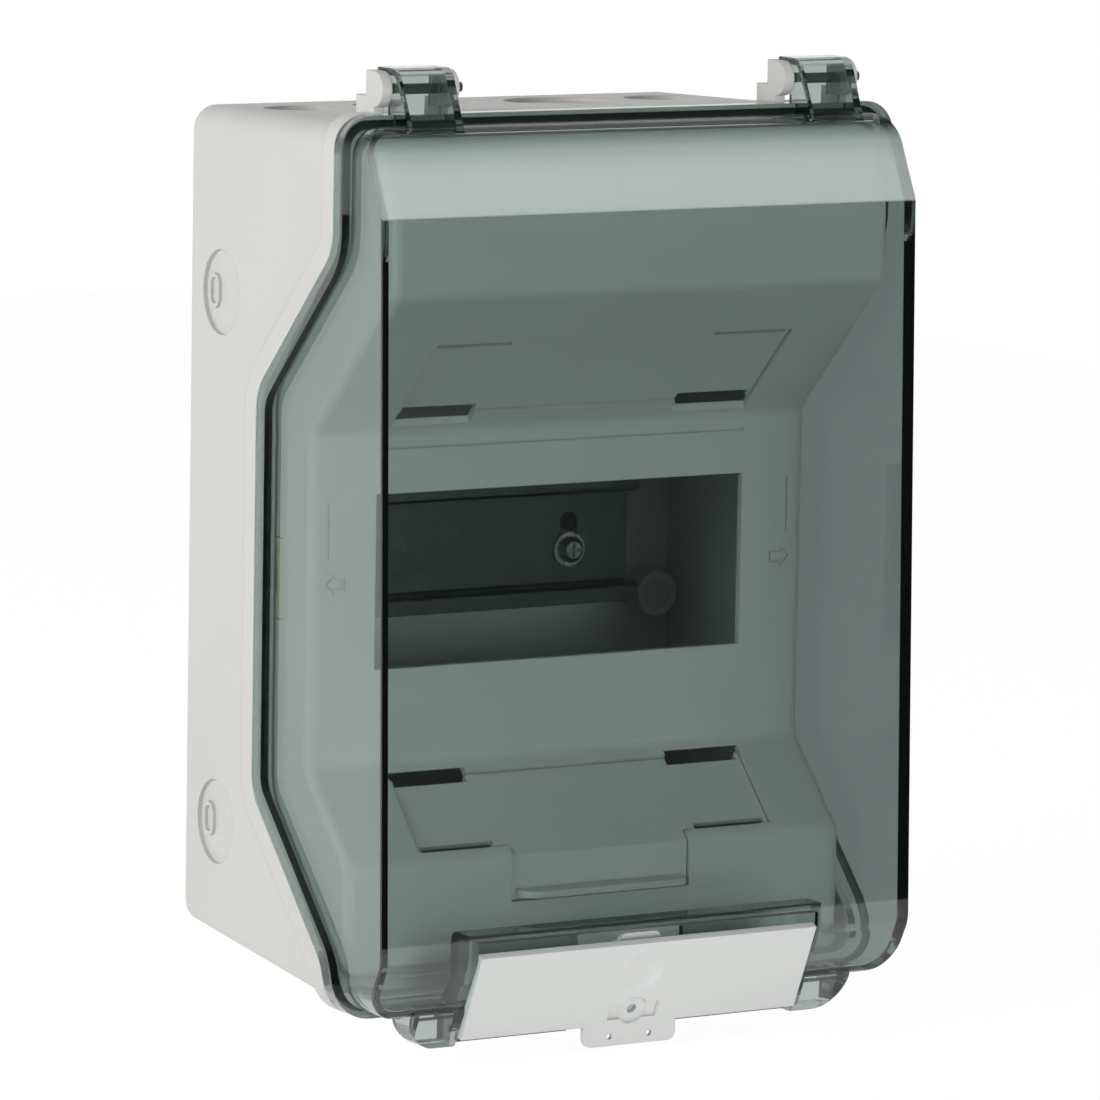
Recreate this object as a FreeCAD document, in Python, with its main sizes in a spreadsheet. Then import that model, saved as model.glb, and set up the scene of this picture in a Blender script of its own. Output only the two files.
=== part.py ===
import FreeCAD, Part
import math
import os
import Sketcher
from types import SimpleNamespace

# Insulated wall enclosure for six modular devices: a moulded base, an inner cover with
# the device window, a clear door hinged at the top and a latch flap at its lower edge.
# Millimetres. X runs to the right, Y into the wall and Z up, and the origin is the middle
# of the back, on the wall. Depths count from the wall towards the front, along -Y.

Vector = FreeCAD.Vector
Rotation = FreeCAD.Rotation
doc = FreeCAD.newDocument("insulated_enclosure")

SIZES = [
    # Base housing
    ("rear_width", 149.0, "width of the back"),
    ("rear_height", 219.4, "height of the back"),
    ("rear_corner", 6.5, "radius of the corners at the back"),
    ("base_wall", 2.6, "thickness of the base's sides"),
    ("back_wall", 3.0, "thickness of the back"),
    ("rim_width", 165.0, "width over the rim"),
    ("rim_top", 114.5, "height of the rim above the middle"),
    ("rim_bottom", 118.0, "depth of the rim below the middle"),
    ("rim_lip", 2.5, "how far the rim stands out from the sides"),
    ("rim_depth", 6.0, "depth of the rim's band"),
    ("rim_corner_top", 8.5, "radius of the rim's upper corners"),
    ("rim_corner_bottom", 11.5, "radius of the rim's lower corners"),
    ("rim_front", 91.5, "depth of the base at its top and bottom"),
    ("rim_recess", 40.0, "how far the rim steps back in the middle"),
    ("upper_bend", 80.0, "height where the rim starts to slant back"),
    ("lower_bend", 105.0, "distance below the middle where the lower slant ends"),
    ("bend_radius", 13.0, "radius of the four bends of the rim"),
    ("ledge_depth", 6.0, "distance of the cover's ledge behind the rim"),
    ("ledge_thickness", 2.0, "thickness of that ledge"),
    ("ledge_width", 1.8, "how far the ledge reaches under the cover's wall"),
    ("knockout_side", 22.5, "diameter of the knockouts in the sides"),
    ("knockout_small", 20.5, "diameter of the outer knockouts in top and bottom"),
    ("knockout_large", 30.0, "diameter of the inner knockouts in top and bottom"),
    ("knockout_depth", 18.5, "depth of the side knockouts' centres"),
    ("knockout_end_depth", 24.0, "depth of the end knockouts' centres"),
    ("knockout_upper", 62.0, "height of the upper side knockout"),
    ("knockout_lower", 79.0, "distance of the lower side knockout below the middle"),
    ("knockout_inner_place", 23.0, "distance of the large end knockouts from the middle"),
    ("knockout_outer_place", 55.0, "distance of the small end knockouts from the middle"),
    ("knockout_cut", 1.2, "depth of the recess that leaves a thin disc"),
    ("tag_width", 6.2, "width of the pry ring on a side knockout"),
    ("tag_height", 9.2, "height of the pry ring"),
    ("tag_line", 1.1, "line width of the pry ring"),
    ("tag_rise", 1.0, "height of the pry ring above the disc"),
    ("tag_shift", 2.0, "distance of the pry ring from the disc's middle"),
    # Seal
    ("groove_inset", 1.4, "distance of the seal's groove from the rim's edge"),
    ("groove_width", 2.4, "width of the groove"),
    ("groove_depth", 2.2, "depth of the groove"),
    ("seal_clearance", 0.05, "gap beside the seal in its groove"),
    # Wall fixings
    ("fixing_place", 63.5, "distance of the wall screws from the middle"),
    ("fixing_pitch", 100.0, "height between the wall screws"),
    ("fixing_lower", 27.0, "distance of the lower wall screws below the middle"),
    ("fixing_hole", 4.5, "diameter of the wall screw's hole"),
    ("fixing_boss", 12.4, "diameter of the boss"),
    ("fixing_height", 12.0, "depth of the boss's face from the wall"),
    ("fixing_web", 4.0, "material that the wall screw clamps"),
    ("cap_diameter", 8.2, "diameter of the insulating cap"),
    ("cap_clearance", 0.05, "radial gap of the cap in its boss"),
    ("cap_thickness", 2.4, "thickness of the cap"),
    ("cap_skirt", 1.0, "wall of the cap's skirt"),
    ("cap_length", 5.0, "length of the cap with its skirt"),
    ("head_space", 7.0, "diameter of the room for the wall screw's head"),
    # Device rail
    ("window_centre", -9.2, "height of the middle of window and rail"),
    ("rail_length", 102.0, "length of the rail"),
    ("rail_height", 35.0, "height over the rail's lips"),
    ("rail_hat", 27.0, "height over the rail's hat"),
    ("rail_depth", 7.5, "depth of the rail"),
    ("rail_sheet", 1.0, "sheet thickness of the rail"),
    ("rail_bend", 1.6, "outer bend radius of the rail"),
    ("rail_front", 22.3, "depth of the rail's lips from the wall"),
    ("rail_slot_place", 32.5, "distance of the rail's slots from the middle"),
    ("rail_slot_width", 5.2, "width of a slot"),
    ("rail_slot_height", 14.0, "height of a slot"),
    ("screw_drop", 3.2, "distance of the rail screws below the rail's middle"),
    ("screw_shank", 3.9, "diameter of the rail screw"),
    ("screw_length", 9.0, "length of the screw under its head"),
    ("screw_head", 7.2, "diameter of the screw's head"),
    ("screw_head_height", 2.4, "height of the screw's head"),
    ("screw_rim_height", 1.2, "height of the head's straight rim"),
    ("screw_crown", 4.6, "diameter of the head's flat top"),
    ("cross_length", 4.0, "length of the cross recess"),
    ("cross_width", 0.9, "width of the cross recess"),
    ("cross_depth", 1.3, "depth of the cross recess"),
    ("washer_diameter", 9.4, "diameter of the washer"),
    ("washer_thickness", 0.8, "thickness of the washer"),
    ("washer_clearance", 0.15, "radial gap between washer and screw"),
    ("thread_clearance", 0.03, "radial gap of screws and pins in their bores"),
    ("pillar_diameter", 9.5, "diameter of the rail's pillars"),
    # Inner cover
    ("cover_width", 148.0, "width of the inner cover"),
    ("cover_top", 108.4, "height of the cover's top"),
    ("cover_bottom", 109.0, "distance of the cover's bottom below the middle"),
    ("cover_corner", 6.0, "radius of the cover's corners"),
    ("cover_wall", 2.0, "thickness of the cover"),
    ("cover_top_depth", 98.6, "depth of the cover's top edge"),
    ("cover_upper_depth", 107.5, "depth of the upper front face"),
    ("cover_upper_start", 88.5, "height where the upper front face starts"),
    ("cover_middle_depth", 68.9, "depth of the middle face with the window"),
    ("cover_middle_top", 30.0, "height of the middle face's upper edge"),
    ("cover_middle_bottom", 57.5, "distance of its lower edge below the middle"),
    ("cover_lower_depth", 90.8, "depth of the lower front face"),
    ("cover_bend", 4.0, "radius of the cover's bends"),
    ("cover_edge", 2.5, "radius of the cover's long edges"),
    ("window_width", 109.0, "width of the device window"),
    ("window_height", 46.0, "height of the device window"),
    ("line_height", 25.6, "height of the moulded line above the window"),
    ("line_width", 0.5, "width of all moulded lines"),
    ("line_depth", 0.4, "depth of those lines"),
    ("arrow_place", 66.5, "distance of the moulded arrows from the middle"),
    ("arrow_length", 6.2, "length of an arrow"),
    ("arrow_head", 2.9, "length of the arrow's head"),
    ("arrow_height", 5.6, "height of the arrow's head"),
    ("arrow_shaft", 3.2, "height of the arrow's shaft"),
    ("scale_place", 68.5, "distance of the moulded uprights from the middle"),
    ("scale_top", 12.0, "height of an upright's top"),
    ("scale_bottom", 2.5, "distance of its foot below the middle"),
    # Access plates in the slanted faces of the cover
    ("plate_width", 107.4, "width of both access plates' openings"),
    ("plate_gap", 0.3, "gap around a plate"),
    ("plate_drop", 1.0, "how far a plate lies below the cover's face"),
    ("plate_thickness", 2.0, "thickness of a plate"),
    ("plate_notch", 30.5, "distance of a corner slit's inner end from the middle"),
    ("plate_slit", 2.2, "height of the slit at each corner"),
    ("slot_reach", 0.9, "how far a corner slot reaches past the plate's edge"),
    ("slot_ledge", 2.1, "height of the flat ledge beside a corner slot"),
    ("slot_ledge_set", 1.5, "distance of that ledge in front of the middle face"),
    ("plate_tongue", 2.0, "how far a plate's tongue reaches behind the cover"),
    ("plate_tongue_width", 44.0, "width of that tongue"),
    ("upper_plate_start", 6.2, "distance of the upper plate from the middle face"),
    ("upper_plate_end", 35.4, "distance of its far edge from the middle face"),
    ("lower_plate_start", 4.0, "distance of the lower plate from the middle face"),
    ("lower_plate_end", 28.0, "distance of its far edge from the middle face"),
    ("tongue_plate", 0.9, "thickness of a plate's tongue"),
    ("apron_width", 54.0, "width of the lower plate's apron"),
    ("apron_drop", 12.5, "length of the apron below the slanted face"),
    ("finger_lip_width", 50.0, "width of the finger lip"),
    ("finger_lip_reach", 6.0, "how far the finger lip stands out"),
    ("finger_lip_thickness", 1.8, "thickness of the finger lip"),
    ("finger_lip_corner", 4.5, "radius of the finger lip's corners"),
    ("finger_lip_rise", 1.0, "distance of the lip above the apron's lower edge"),
    # Catches of the cover
    ("clip_height", 21.0, "height of a cover catch"),
    ("clip_front", 54.5, "depth of the catch's front edge"),
    ("clip_rear", 41.0, "depth of the catch's rear edge"),
    ("clip_gap", 0.3, "gap above and below a catch"),
    ("clip_thickness", 1.8, "thickness of a catch"),
    ("clip_hook_height", 8.0, "height of the catch's hook"),
    ("clip_hook_reach", 1.4, "how far the hook reaches into the base's side"),
    ("clip_hook_length", 3.2, "depth of the hook"),
    ("clip_hook_set", 0.5, "distance of the hook from the catch's rear edge"),
    ("clip_hook_clearance", 0.4, "gap above and below the hook in its seat"),
    ("clip_seat_reach", 2.0, "width of the hook's seat in the base's side"),
    ("clip_corner", 2.5, "radius of the catch's corners"),
    ("clip_groove_inset", 3.0, "distance of the catch's finger groove from its front edge"),
    ("clip_groove_depth", 0.6, "depth of that groove"),
    # Door
    ("door_gap", 0.3, "gap between the door's flange and the rim"),
    ("door_wall", 2.6, "thickness of the door"),
    ("door_flange", 4.5, "thickness of the door's flange"),
    ("door_top", 111.8, "height of the door's top"),
    ("door_bottom", 115.8, "distance of the door's bottom below the middle"),
    ("door_draft", 0.8, "how much wider each side is at the flange"),
    ("door_corner_top", 7.5, "radius of the door's upper corners"),
    ("door_corner_bottom", 9.0, "radius of the door's lower corners"),
    ("door_top_depth", 101.3, "depth of the top panel's upper edge"),
    ("door_front_top", 112.3, "depth of the front at its upper edge"),
    ("door_edge_top", 90.0, "height of the front's upper edge"),
    ("door_front_bottom", 117.4, "depth of the front at its lower edge"),
    ("door_edge_bottom", 101.0, "distance of the front's lower edge below the middle"),
    ("door_bottom_depth", 109.5, "depth of the bottom panel's lower edge"),
    ("door_top_radius", 4.0, "radius between top and top panel"),
    ("door_edge_radius", 2.5, "radius between top panel and front"),
    ("door_front_radius", 8.0, "radius between front and bottom panel"),
    ("door_bottom_radius", 3.0, "radius between bottom panel and bottom"),
    # Hinges
    ("hinge_place", 60.0, "distance of the hinges from the middle"),
    ("hinge_depth", 91.5, "depth of the hinge's axis"),
    ("hinge_height", 120.8, "height of the hinge's axis"),
    ("hinge_pin", 2.6, "diameter of the hinge pin"),
    ("hinge_clearance", 0.08, "radial running gap of the strap on its pin"),
    ("ear_thickness", 2.8, "thickness of an ear"),
    ("ear_radius", 4.6, "radius of an ear's round front"),
    ("ear_back", 4.2, "distance of the ear's back from the axis"),
    ("ear_step", 5.1, "how far the ear's foot reaches further back"),
    ("ear_step_height", 1.9, "distance of the foot's top below the axis"),
    ("ear_sink", 4.0, "how far the foot reaches down behind the rim's top"),
    ("ear_foot_set", 0.3, "distance of the foot's front behind the axis"),
    ("strap_width", 16.0, "width of a door strap"),
    ("strap_gap", 0.35, "gap between strap and ear"),
    ("strap_wall", 1.9, "thickness of the strap"),
    ("strap_web", 1.6, "thickness of the strap's side webs"),
    ("strap_top", 5.4, "height of the strap's top above the axis"),
    ("strap_back", 4.0, "distance of the strap's rear edge from the axis"),
    ("strap_front", 6.2, "distance of the strap's front from the axis at its top"),
    ("strap_round", 4.0, "radius of the strap's top"),
    ("strap_edge", 0.8, "radius of the strap's rear edge"),
    ("strap_root", 1.5, "how far the strap's root reaches into the door's top"),
    ("strap_foot_web", 2.3, "thickness of the strap at its lower end"),
    ("strap_under", 4.2, "distance of the strap's underside below the axis"),
    ("strap_foot_depth", 104.6, "depth of the strap's lower end"),
    ("strap_foot_height", 110.1, "height of the strap's lower end"),
    ("pin_grip", 2.8, "how far the pin stands out of the right ear"),
    ("pin_blind", 1.8, "depth of the pin's seat in the left ear"),
    # Latch pocket in the door and the flap over it
    ("pocket_width", 102.6, "width of the latch pocket"),
    ("pocket_top", 96.5, "distance of the pocket's top below the middle"),
    ("pocket_wall", 2.0, "thickness of the pocket's walls"),
    ("pocket_edge", 0.8, "radius between the pocket's top and its back"),
    ("pocket_bend", 3.0, "radius of the bends of the pocket's back"),
    ("pocket_back_top", 107.3, "depth of the pocket's back at its top"),
    ("pocket_back_bottom", 100.3, "depth of the pocket's back at the chin"),
    ("chin_width", 132.0, "width of the chin with its two cheeks"),
    ("chin_bottom", 125.5, "distance of the chin's bottom below the middle"),
    ("chin_corner", 9.5, "radius of the cheeks' lower corners"),
    ("chin_edge", 1.5, "radius of the chin's lower edges"),
    ("chin_rear", 98.3, "depth of the chin's rear"),
    ("chin_front_top", 110.5, "depth of the chin's front at the door's bottom"),
    ("chin_front_bottom", 105.5, "depth of the chin's front at its bottom"),
    ("pocket_slope_top", 107.0, "distance below the middle where the back starts to slant"),
    ("pocket_slope_bottom", 116.0, "distance below the middle where that slant ends"),
    ("slot_width", 32.0, "width of the slot for the flap's nib"),
    ("slot_top", 98.8, "distance of the slot's top below the middle"),
    ("slot_bottom", 104.6, "distance of the slot's bottom below the middle"),
    ("flap_side_gap", 0.7, "gap between the flap and the pocket's sides"),
    ("flap_top", 100.3, "distance of the flap's top edge below the middle"),
    ("flap_top_depth", 118.0, "depth of the flap's face at its top edge"),
    ("flap_bottom", 123.5, "distance of the flap's bottom edge below the middle"),
    ("flap_bottom_depth", 107.6, "depth of the flap's face at its bottom edge"),
    ("flap_thickness", 2.2, "thickness of the flap"),
    ("flap_hinge_depth", 105.0, "depth of the flap's axis"),
    ("flap_hinge_height", 119.6, "distance of the flap's axis below the middle"),
    ("flap_pin", 2.2, "diameter of the flap's pins"),
    ("flap_pin_length", 8.0, "length of the flap's pins"),
    ("flap_pin_seat", 1.7, "how far a pin sits in the cheek's wall"),
    ("flap_lug", 4.4, "diameter of the flap's lugs"),
    ("flap_lug_width", 5.0, "width of a lug"),
    ("dimple_place", 108.4, "distance of the finger dimple below the middle"),
    ("dimple_diameter", 12.0, "diameter of the finger dimple"),
    ("dimple_depth", 1.1, "depth of the finger dimple"),
    ("lock_place", 119.8, "distance of the lock hole below the middle"),
    ("lock_hole", 2.7, "diameter of the lock hole"),
    ("lock_recess", 8.2, "diameter of the round lock recess"),
    ("lock_wing", 14.6, "width over the wings of the lock recess"),
    ("lock_wing_height", 4.2, "height of the wings"),
    ("lock_recess_depth", 0.9, "depth of the lock recess"),
    ("tab_width", 28.0, "width of the sealing tab"),
    ("tab_bottom", 129.0, "distance of the tab's end below the middle"),
    ("tab_corner", 2.5, "radius of the tab's corners"),
    ("tab_thickness", 1.3, "thickness of the tab"),
    ("tab_relief", 3.0, "height of the relief in the chin that the tab swings through"),
    ("tab_clearance", 0.8, "gap beside the tab in that relief"),
    ("seal_hole", 1.6, "diameter of the sealing-wire holes"),
    ("seal_hole_place", 6.0, "distance of those holes from the middle"),
    ("seal_hole_rise", 2.5, "distance of those holes above the tab's end"),
    ("tongue_width", 12.4, "width of the flap's upper tongue"),
    ("tongue_depth", 112.4, "depth of the tongue's face"),
    ("tongue_top", 98.4, "distance of the tongue's top below the middle"),
    ("tongue_corner", 2.0, "radius of the tongue's upper corners"),
    ("tongue_thickness", 1.5, "thickness of the tongue"),
    ("tongue_root", 106.5, "distance of the tongue's root below the middle"),
    ("nib_width", 10.0, "width of the nib"),
    ("nib_reach", 106.4, "depth that the nib reaches back to"),
    ("nib_top", 101.2, "distance of the nib's top below the middle"),
    ("nib_height", 1.8, "height of the nib"),
]


class Size:
    """A length that carries its number and the formula that ties it to the sheet."""

    def __init__(self, number, formula):
        self.number = number
        self.formula = formula

    def __add__(self, other):
        other = sized(other)
        return Size(self.number + other.number, f"({self.formula} + {other.formula})")

    def __radd__(self, other):
        return sized(other) + self

    def __sub__(self, other):
        other = sized(other)
        return Size(self.number - other.number, f"({self.formula} - {other.formula})")

    def __rsub__(self, other):
        return sized(other) - self

    def __mul__(self, other):
        other = sized(other)
        return Size(self.number * other.number, f"({self.formula} * {other.formula})")

    def __rmul__(self, other):
        return sized(other) * self

    def __truediv__(self, other):
        other = sized(other)
        return Size(self.number / other.number, f"({self.formula} / {other.formula})")

    def __neg__(self):
        return Size(-self.number, f"(0 - {self.formula})")


def sized(value):
    """Turn a plain number into a Size, and leave a Size as it is."""
    if isinstance(value, Size):
        return value
    return Size(float(value), f"({float(value)})")


def root(value):
    """Square root of a Size."""
    return Size(math.sqrt(value.number), f"sqrt({value.formula})")


def make_sheet():
    """Write the driving sizes into a spreadsheet and return them by name."""
    sheet = doc.addObject("Spreadsheet::Sheet", "Sizes")
    found = {}
    for row, (name, number, meaning) in enumerate(SIZES, start=1):
        sheet.set(f"A{row}", meaning)
        sheet.set(f"B{row}", str(number))
        sheet.setAlias(f"B{row}", name)
        found[name] = Size(number, f"Sizes.{name}")
    doc.recompute()
    return SimpleNamespace(**found)


size = make_sheet()

BEYOND = 12.0
PAST = 1.0
ROUND_END = 0.98
TURN_TO_X = Rotation(Vector(0, 1, 0), 90)
TURN_TO_REAR = Rotation(Vector(1, 0, 0), -90)
TURN_TO_FRONT = Rotation(Vector(1, 0, 0), 90)
SIDE_PLANE = Rotation(Vector(0, 1, 0), Vector(0, 0, 1), Vector(1, 0, 0), "XYZ")
FRONT_PLANE = Rotation(Vector(1, 0, 0), Vector(0, 0, 1), Vector(0, -1, 0), "XYZ")
FLAT_PLANE = Rotation()


REAR = sized(BEYOND)
HIGH = size.rim_top + BEYOND
LOW = -size.rim_bottom - BEYOND


def bind(item, field, value):
    """Drive one field of an object from the sheet."""
    item.setExpression(field, sized(value).formula)


def place(item, x=0, y=0, z=0, turn=None):
    """Put an object at a point whose coordinates follow the sheet."""
    item.Placement = FreeCAD.Placement(Vector(0, 0, 0), turn or Rotation())
    for axis, value in (("x", x), ("y", y), ("z", z)):
        bind(item, f"Placement.Base.{axis}", value)
    return item


def block(name, across, along, up):
    """Box between two limits on each axis, the lower limit first."""
    box = doc.addObject("Part::Box", name)
    bind(box, "Length", sized(across[1]) - across[0])
    bind(box, "Width", sized(along[1]) - along[0])
    bind(box, "Height", sized(up[1]) - up[0])
    return place(box, across[0], along[0], up[0])


def rod(name, radius, length, start, turn):
    """Cylinder that runs from a start point in the direction of its turn."""
    cylinder = doc.addObject("Part::Cylinder", name)
    bind(cylinder, "Radius", radius)
    bind(cylinder, "Height", length)
    return place(cylinder, *start, turn=turn)


def ball(name, radius, centre):
    """Sphere about a point."""
    sphere = doc.addObject("Part::Sphere", name)
    bind(sphere, "Radius", radius)
    return place(sphere, *centre)


def fuse(name, shapes):
    """Several shapes as one."""
    result = doc.addObject("Part::MultiFuse", name)
    result.Shapes = shapes
    result.Refine = True
    return result


def cut(name, base, tools):
    """Base without its tools."""
    result = doc.addObject("Part::Cut", name)
    result.Base = base
    result.Tool = tools[0] if len(tools) == 1 else fuse(name + "_tools", tools)
    result.Refine = True
    return result


def common(name, shapes):
    """What several shapes share."""
    result = doc.addObject("Part::MultiCommon", name)
    result.Shapes = shapes
    result.Refine = True
    return result


def corner_arc(before, corner, after, radius):
    """Start, centre and end of the arc that rounds a corner, and whether it turns left."""
    inward = (corner - before).normalize()
    outward = (after - corner).normalize()
    turn = inward.getAngle(outward)
    reach = radius * math.tan(turn / 2)
    start = corner - inward * reach
    end = corner + outward * reach
    centre = corner + (outward - inward).normalize() * (radius / math.cos(turn / 2))
    return start, centre, end, inward.cross(outward).z > 0


def outline(name, corners, plane, x=0, y=0, z=0):
    """Sketch of a closed line through corners given as (across, up) or (across, up, radius)."""
    sketch = place(doc.addObject("Sketcher::SketchObject", name), x, y, z, plane)
    points = [Vector(sized(c[0]).number, sized(c[1]).number, 0) for c in corners]
    radii = [sized(c[2]) if len(c) > 2 else sized(0) for c in corners]
    count = len(points)
    arcs = [corner_arc(points[i - 1], points[i], points[(i + 1) % count], radii[i].number)
            for i in range(count)]
    lines = [sketch.addGeometry(Part.LineSegment(arcs[i][2], arcs[(i + 1) % count][0]), False)
             for i in range(count)]
    rules = []
    formulas = []
    for i, corner in enumerate(corners):
        mark = sketch.addGeometry(Part.Point(points[i]), True)
        for kind, value in (("DistanceX", sized(corner[0])), ("DistanceY", sized(corner[1]))):
            formulas.append((len(rules), value))
            rules.append(Sketcher.Constraint(kind, -1, 1, mark, 1, value.number))
        if radii[i].number == 0:
            rules.append(Sketcher.Constraint("Coincident", lines[i - 1], 2, mark, 1))
            rules.append(Sketcher.Constraint("Coincident", lines[i], 1, mark, 1))
            continue
        start, centre, end, left = arcs[i]
        first, last = (start, end) if left else (end, start)
        angles = [math.atan2(p.y - centre.y, p.x - centre.x) for p in (first, last)]
        circle = Part.Circle(centre, Vector(0, 0, 1), radii[i].number)
        arc = sketch.addGeometry(Part.ArcOfCircle(circle, *angles), False)
        near, far = (1, 2) if left else (2, 1)
        rules.append(Sketcher.Constraint("PointOnObject", mark, 1, lines[i - 1]))
        rules.append(Sketcher.Constraint("PointOnObject", mark, 1, lines[i]))
        rules.append(Sketcher.Constraint("Tangent", lines[i - 1], 2, arc, near))
        rules.append(Sketcher.Constraint("Tangent", arc, far, lines[i], 1))
        formulas.append((len(rules), radii[i]))
        rules.append(Sketcher.Constraint("Radius", arc, radii[i].number))
    sketch.addConstraint(rules)
    for index, value in formulas:
        sketch.renameConstraint(index, f"size{index}")
        sketch.setExpression(f".Constraints.size{index}", value.formula)
    return sketch


def prism(name, corners, plane, start, end):
    """Solid that a closed line sweeps from start to end along its plane's normal."""
    if plane is SIDE_PLANE:
        sketch = outline(name + "_line", corners, plane, x=start)
    elif plane is FRONT_PLANE:
        sketch = outline(name + "_line", corners, plane, y=-sized(start))
    else:
        sketch = outline(name + "_line", corners, plane, z=start)
    solid = doc.addObject("Part::Extrusion", name)
    solid.Base = sketch
    solid.DirMode = "Normal"
    solid.Solid = True
    bind(solid, "LengthFwd", sized(end) - start)
    return solid


def across(name, corners, half):
    """Solid between -half and half on X, from corners given as (y, z)."""
    return prism(name, corners, SIDE_PLANE, -sized(half), half)


def facing(name, corners, near_wall, far_from_wall):
    """Solid between two depths, from corners given as (x, z)."""
    return prism(name, corners, FRONT_PLANE, near_wall, far_from_wall)


def rounded_box(half, top, bottom, upper_radius, lower_radius):
    """Corners of a rectangle with rounded corners, heights above and below the middle."""
    return [(-half, top, upper_radius), (-half, -bottom, lower_radius),
            (half, -bottom, lower_radius), (half, top, upper_radius)]


def slot_line(across_middle, up_middle, half_wide, half_high):
    """Corners of an upright slot with round ends."""
    left, right = across_middle - half_wide, across_middle + half_wide
    low, high = up_middle - half_high, up_middle + half_high
    end = half_wide * ROUND_END
    return [(left, high, end), (left, low, end), (right, low, end), (right, high, end)]


def rounded_edges(name, base, radius_at):
    """Round the edges for whose bounding box radius_at gives a radius."""
    doc.recompute()
    wanted = []
    for index, edge in enumerate(base.Shape.Edges, start=1):
        radius = radius_at(edge.BoundBox)
        if radius is not None:
            wanted.append((index, radius.number, radius.number))
    result = doc.addObject("Part::Fillet", name)
    result.Base = base
    result.Edges = wanted
    return result


def drafted_box(name, rear, front, depths, upper, lower):
    """Box that changes from one (half width, top, bottom) to another between two depths."""
    near, far = -depths[0], -depths[1]
    side = across(f"{name}_side", [(near, rear[1]), (near, -rear[2]),
                                   (far, -front[2]), (far, front[1])], size.rim_width)
    plan = prism(f"{name}_plan", [(-rear[0], near), (-front[0], far), (front[0], far),
                                  (rear[0], near)], FLAT_PLANE, LOW, HIGH)

    def corner(box):
        if box.YLength < (near - far).number - PAST:
            return None
        return upper if box.ZMin > 0 else lower

    return rounded_edges(name, common(f"{name}_sharp", [side, plan]), corner)


def moved(line, distance):
    """Open line of (y, z, radius) corners, every stretch moved to its left."""
    distance = sized(distance)
    sides = []
    for (y1, z1, _), (y2, z2, _) in zip(line, line[1:]):
        run, rise = sized(y2) - y1, sized(z2) - z1
        length = root(run * run + rise * rise)
        sides.append((-rise / length, run / length))
    result = []
    for i, (y, z, radius) in enumerate(line):
        before = sides[max(i - 1, 0)]
        after = sides[min(i, len(sides) - 1)]
        spread = 1 + before[0] * after[0] + before[1] * after[1]
        shift_y = (before[0] + after[0]) / spread * distance
        shift_z = (before[1] + after[1]) / spread * distance
        radius = sized(radius)
        if radius.number > 0:
            turns_left = before[0].number * after[1].number > before[1].number * after[0].number
            radius = radius - distance if turns_left else radius + distance
            if radius.number <= 0:
                radius = sized(0)
        result.append((sized(y) + shift_y, sized(z) + shift_z, radius))
    return result


def finish(item, node):
    """Name a finished piece."""
    item.Label = node
    return node, item


def both_sides(make):
    """Make a detail on the left and on the right."""
    return [make("left", -1), make("right", 1)]


# Rim: base and door meet along one stepped line, seen from the side

def rim_line():
    """Line of the base's front edge from top to bottom, as (y, z, radius)."""
    front = -size.rim_front
    inner = front + size.rim_recess
    bend = size.bend_radius
    return [
        (front, HIGH, 0),
        (front, size.upper_bend, bend),
        (inner, size.upper_bend - size.rim_recess, bend),
        (inner, -size.lower_bend + size.rim_recess, bend),
        (front, -size.lower_bend, bend),
        (front, LOW, 0),
    ]


def rim_band(name, front, rear, half):
    """Everything between two lines parallel to the rim."""
    return across(name, moved(rim_line(), front) + moved(rim_line(), rear)[::-1], half)


def behind_rim(name, distance, half):
    """Everything further back than a line parallel to the rim."""
    return across(name, moved(rim_line(), distance) + [(REAR, LOW), (REAR, HIGH)], half)


def rim_ring(name, inset, width, front, rear):
    """Ring that follows the rim, with its outer edge inset from the rim's edge."""
    near = size.rim_front - size.rim_recess - BEYOND
    far = size.rim_front + BEYOND
    half = size.rim_width / 2

    def edge(part, distance):
        return facing(f"{name}_{part}", rounded_box(
            half - distance, size.rim_top - distance, size.rim_bottom - distance,
            size.rim_corner_top - distance, size.rim_corner_bottom - distance), near, far)

    ring = cut(f"{name}_ring", edge("outer", inset), [edge("inner", sized(inset) + width)])
    return common(name, [ring, rim_band(f"{name}_band", front, rear, half + BEYOND)])


# Base housing: moulded in one piece, its sides widen from the wall to the rim

def tapered(name, inset, back):
    """The base's outer form, every side inset, from a depth behind which it is closed."""
    lip = size.rim_lip + inset
    front = (size.rim_width / 2 - lip, size.rim_top - lip, size.rim_bottom - lip)
    half = size.rear_width / 2 - inset
    rise = size.rear_height / 2 - inset
    share = back / size.rim_front
    rear = (half + (front[0] - half) * share, rise + (front[1] - rise) * share,
            rise + (front[2] - rise) * share)
    corner = size.rear_corner - inset
    return drafted_box(name, rear, front, (back, size.rim_front), corner, corner)


def knockouts(name):
    """Round recesses that leave thin discs in the sides, the top and the bottom."""
    reach = size.rim_width
    depth = -size.knockout_depth
    end_depth = -size.knockout_end_depth
    places = []
    for side, sign in (("left", -1), ("right", 1)):
        start = 0 if sign == 1 else -reach
        for level, z in (("upper", size.knockout_upper), ("lower", -size.knockout_lower)):
            places.append((f"{side}_{level}", size.knockout_side, (start, depth, z), TURN_TO_X))
        for kind, x, wide in (("inner", size.knockout_inner_place, size.knockout_large),
                              ("outer", size.knockout_outer_place, size.knockout_small)):
            for end, z in (("top", 0), ("bottom", -reach)):
                places.append((f"{end}_{kind}_{side}", wide, (x * sign, end_depth, z),
                               Rotation()))
    return [rod(f"{name}_{place_name}", wide / 2, reach, start, turn)
            for place_name, wide, start, turn in places]


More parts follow.
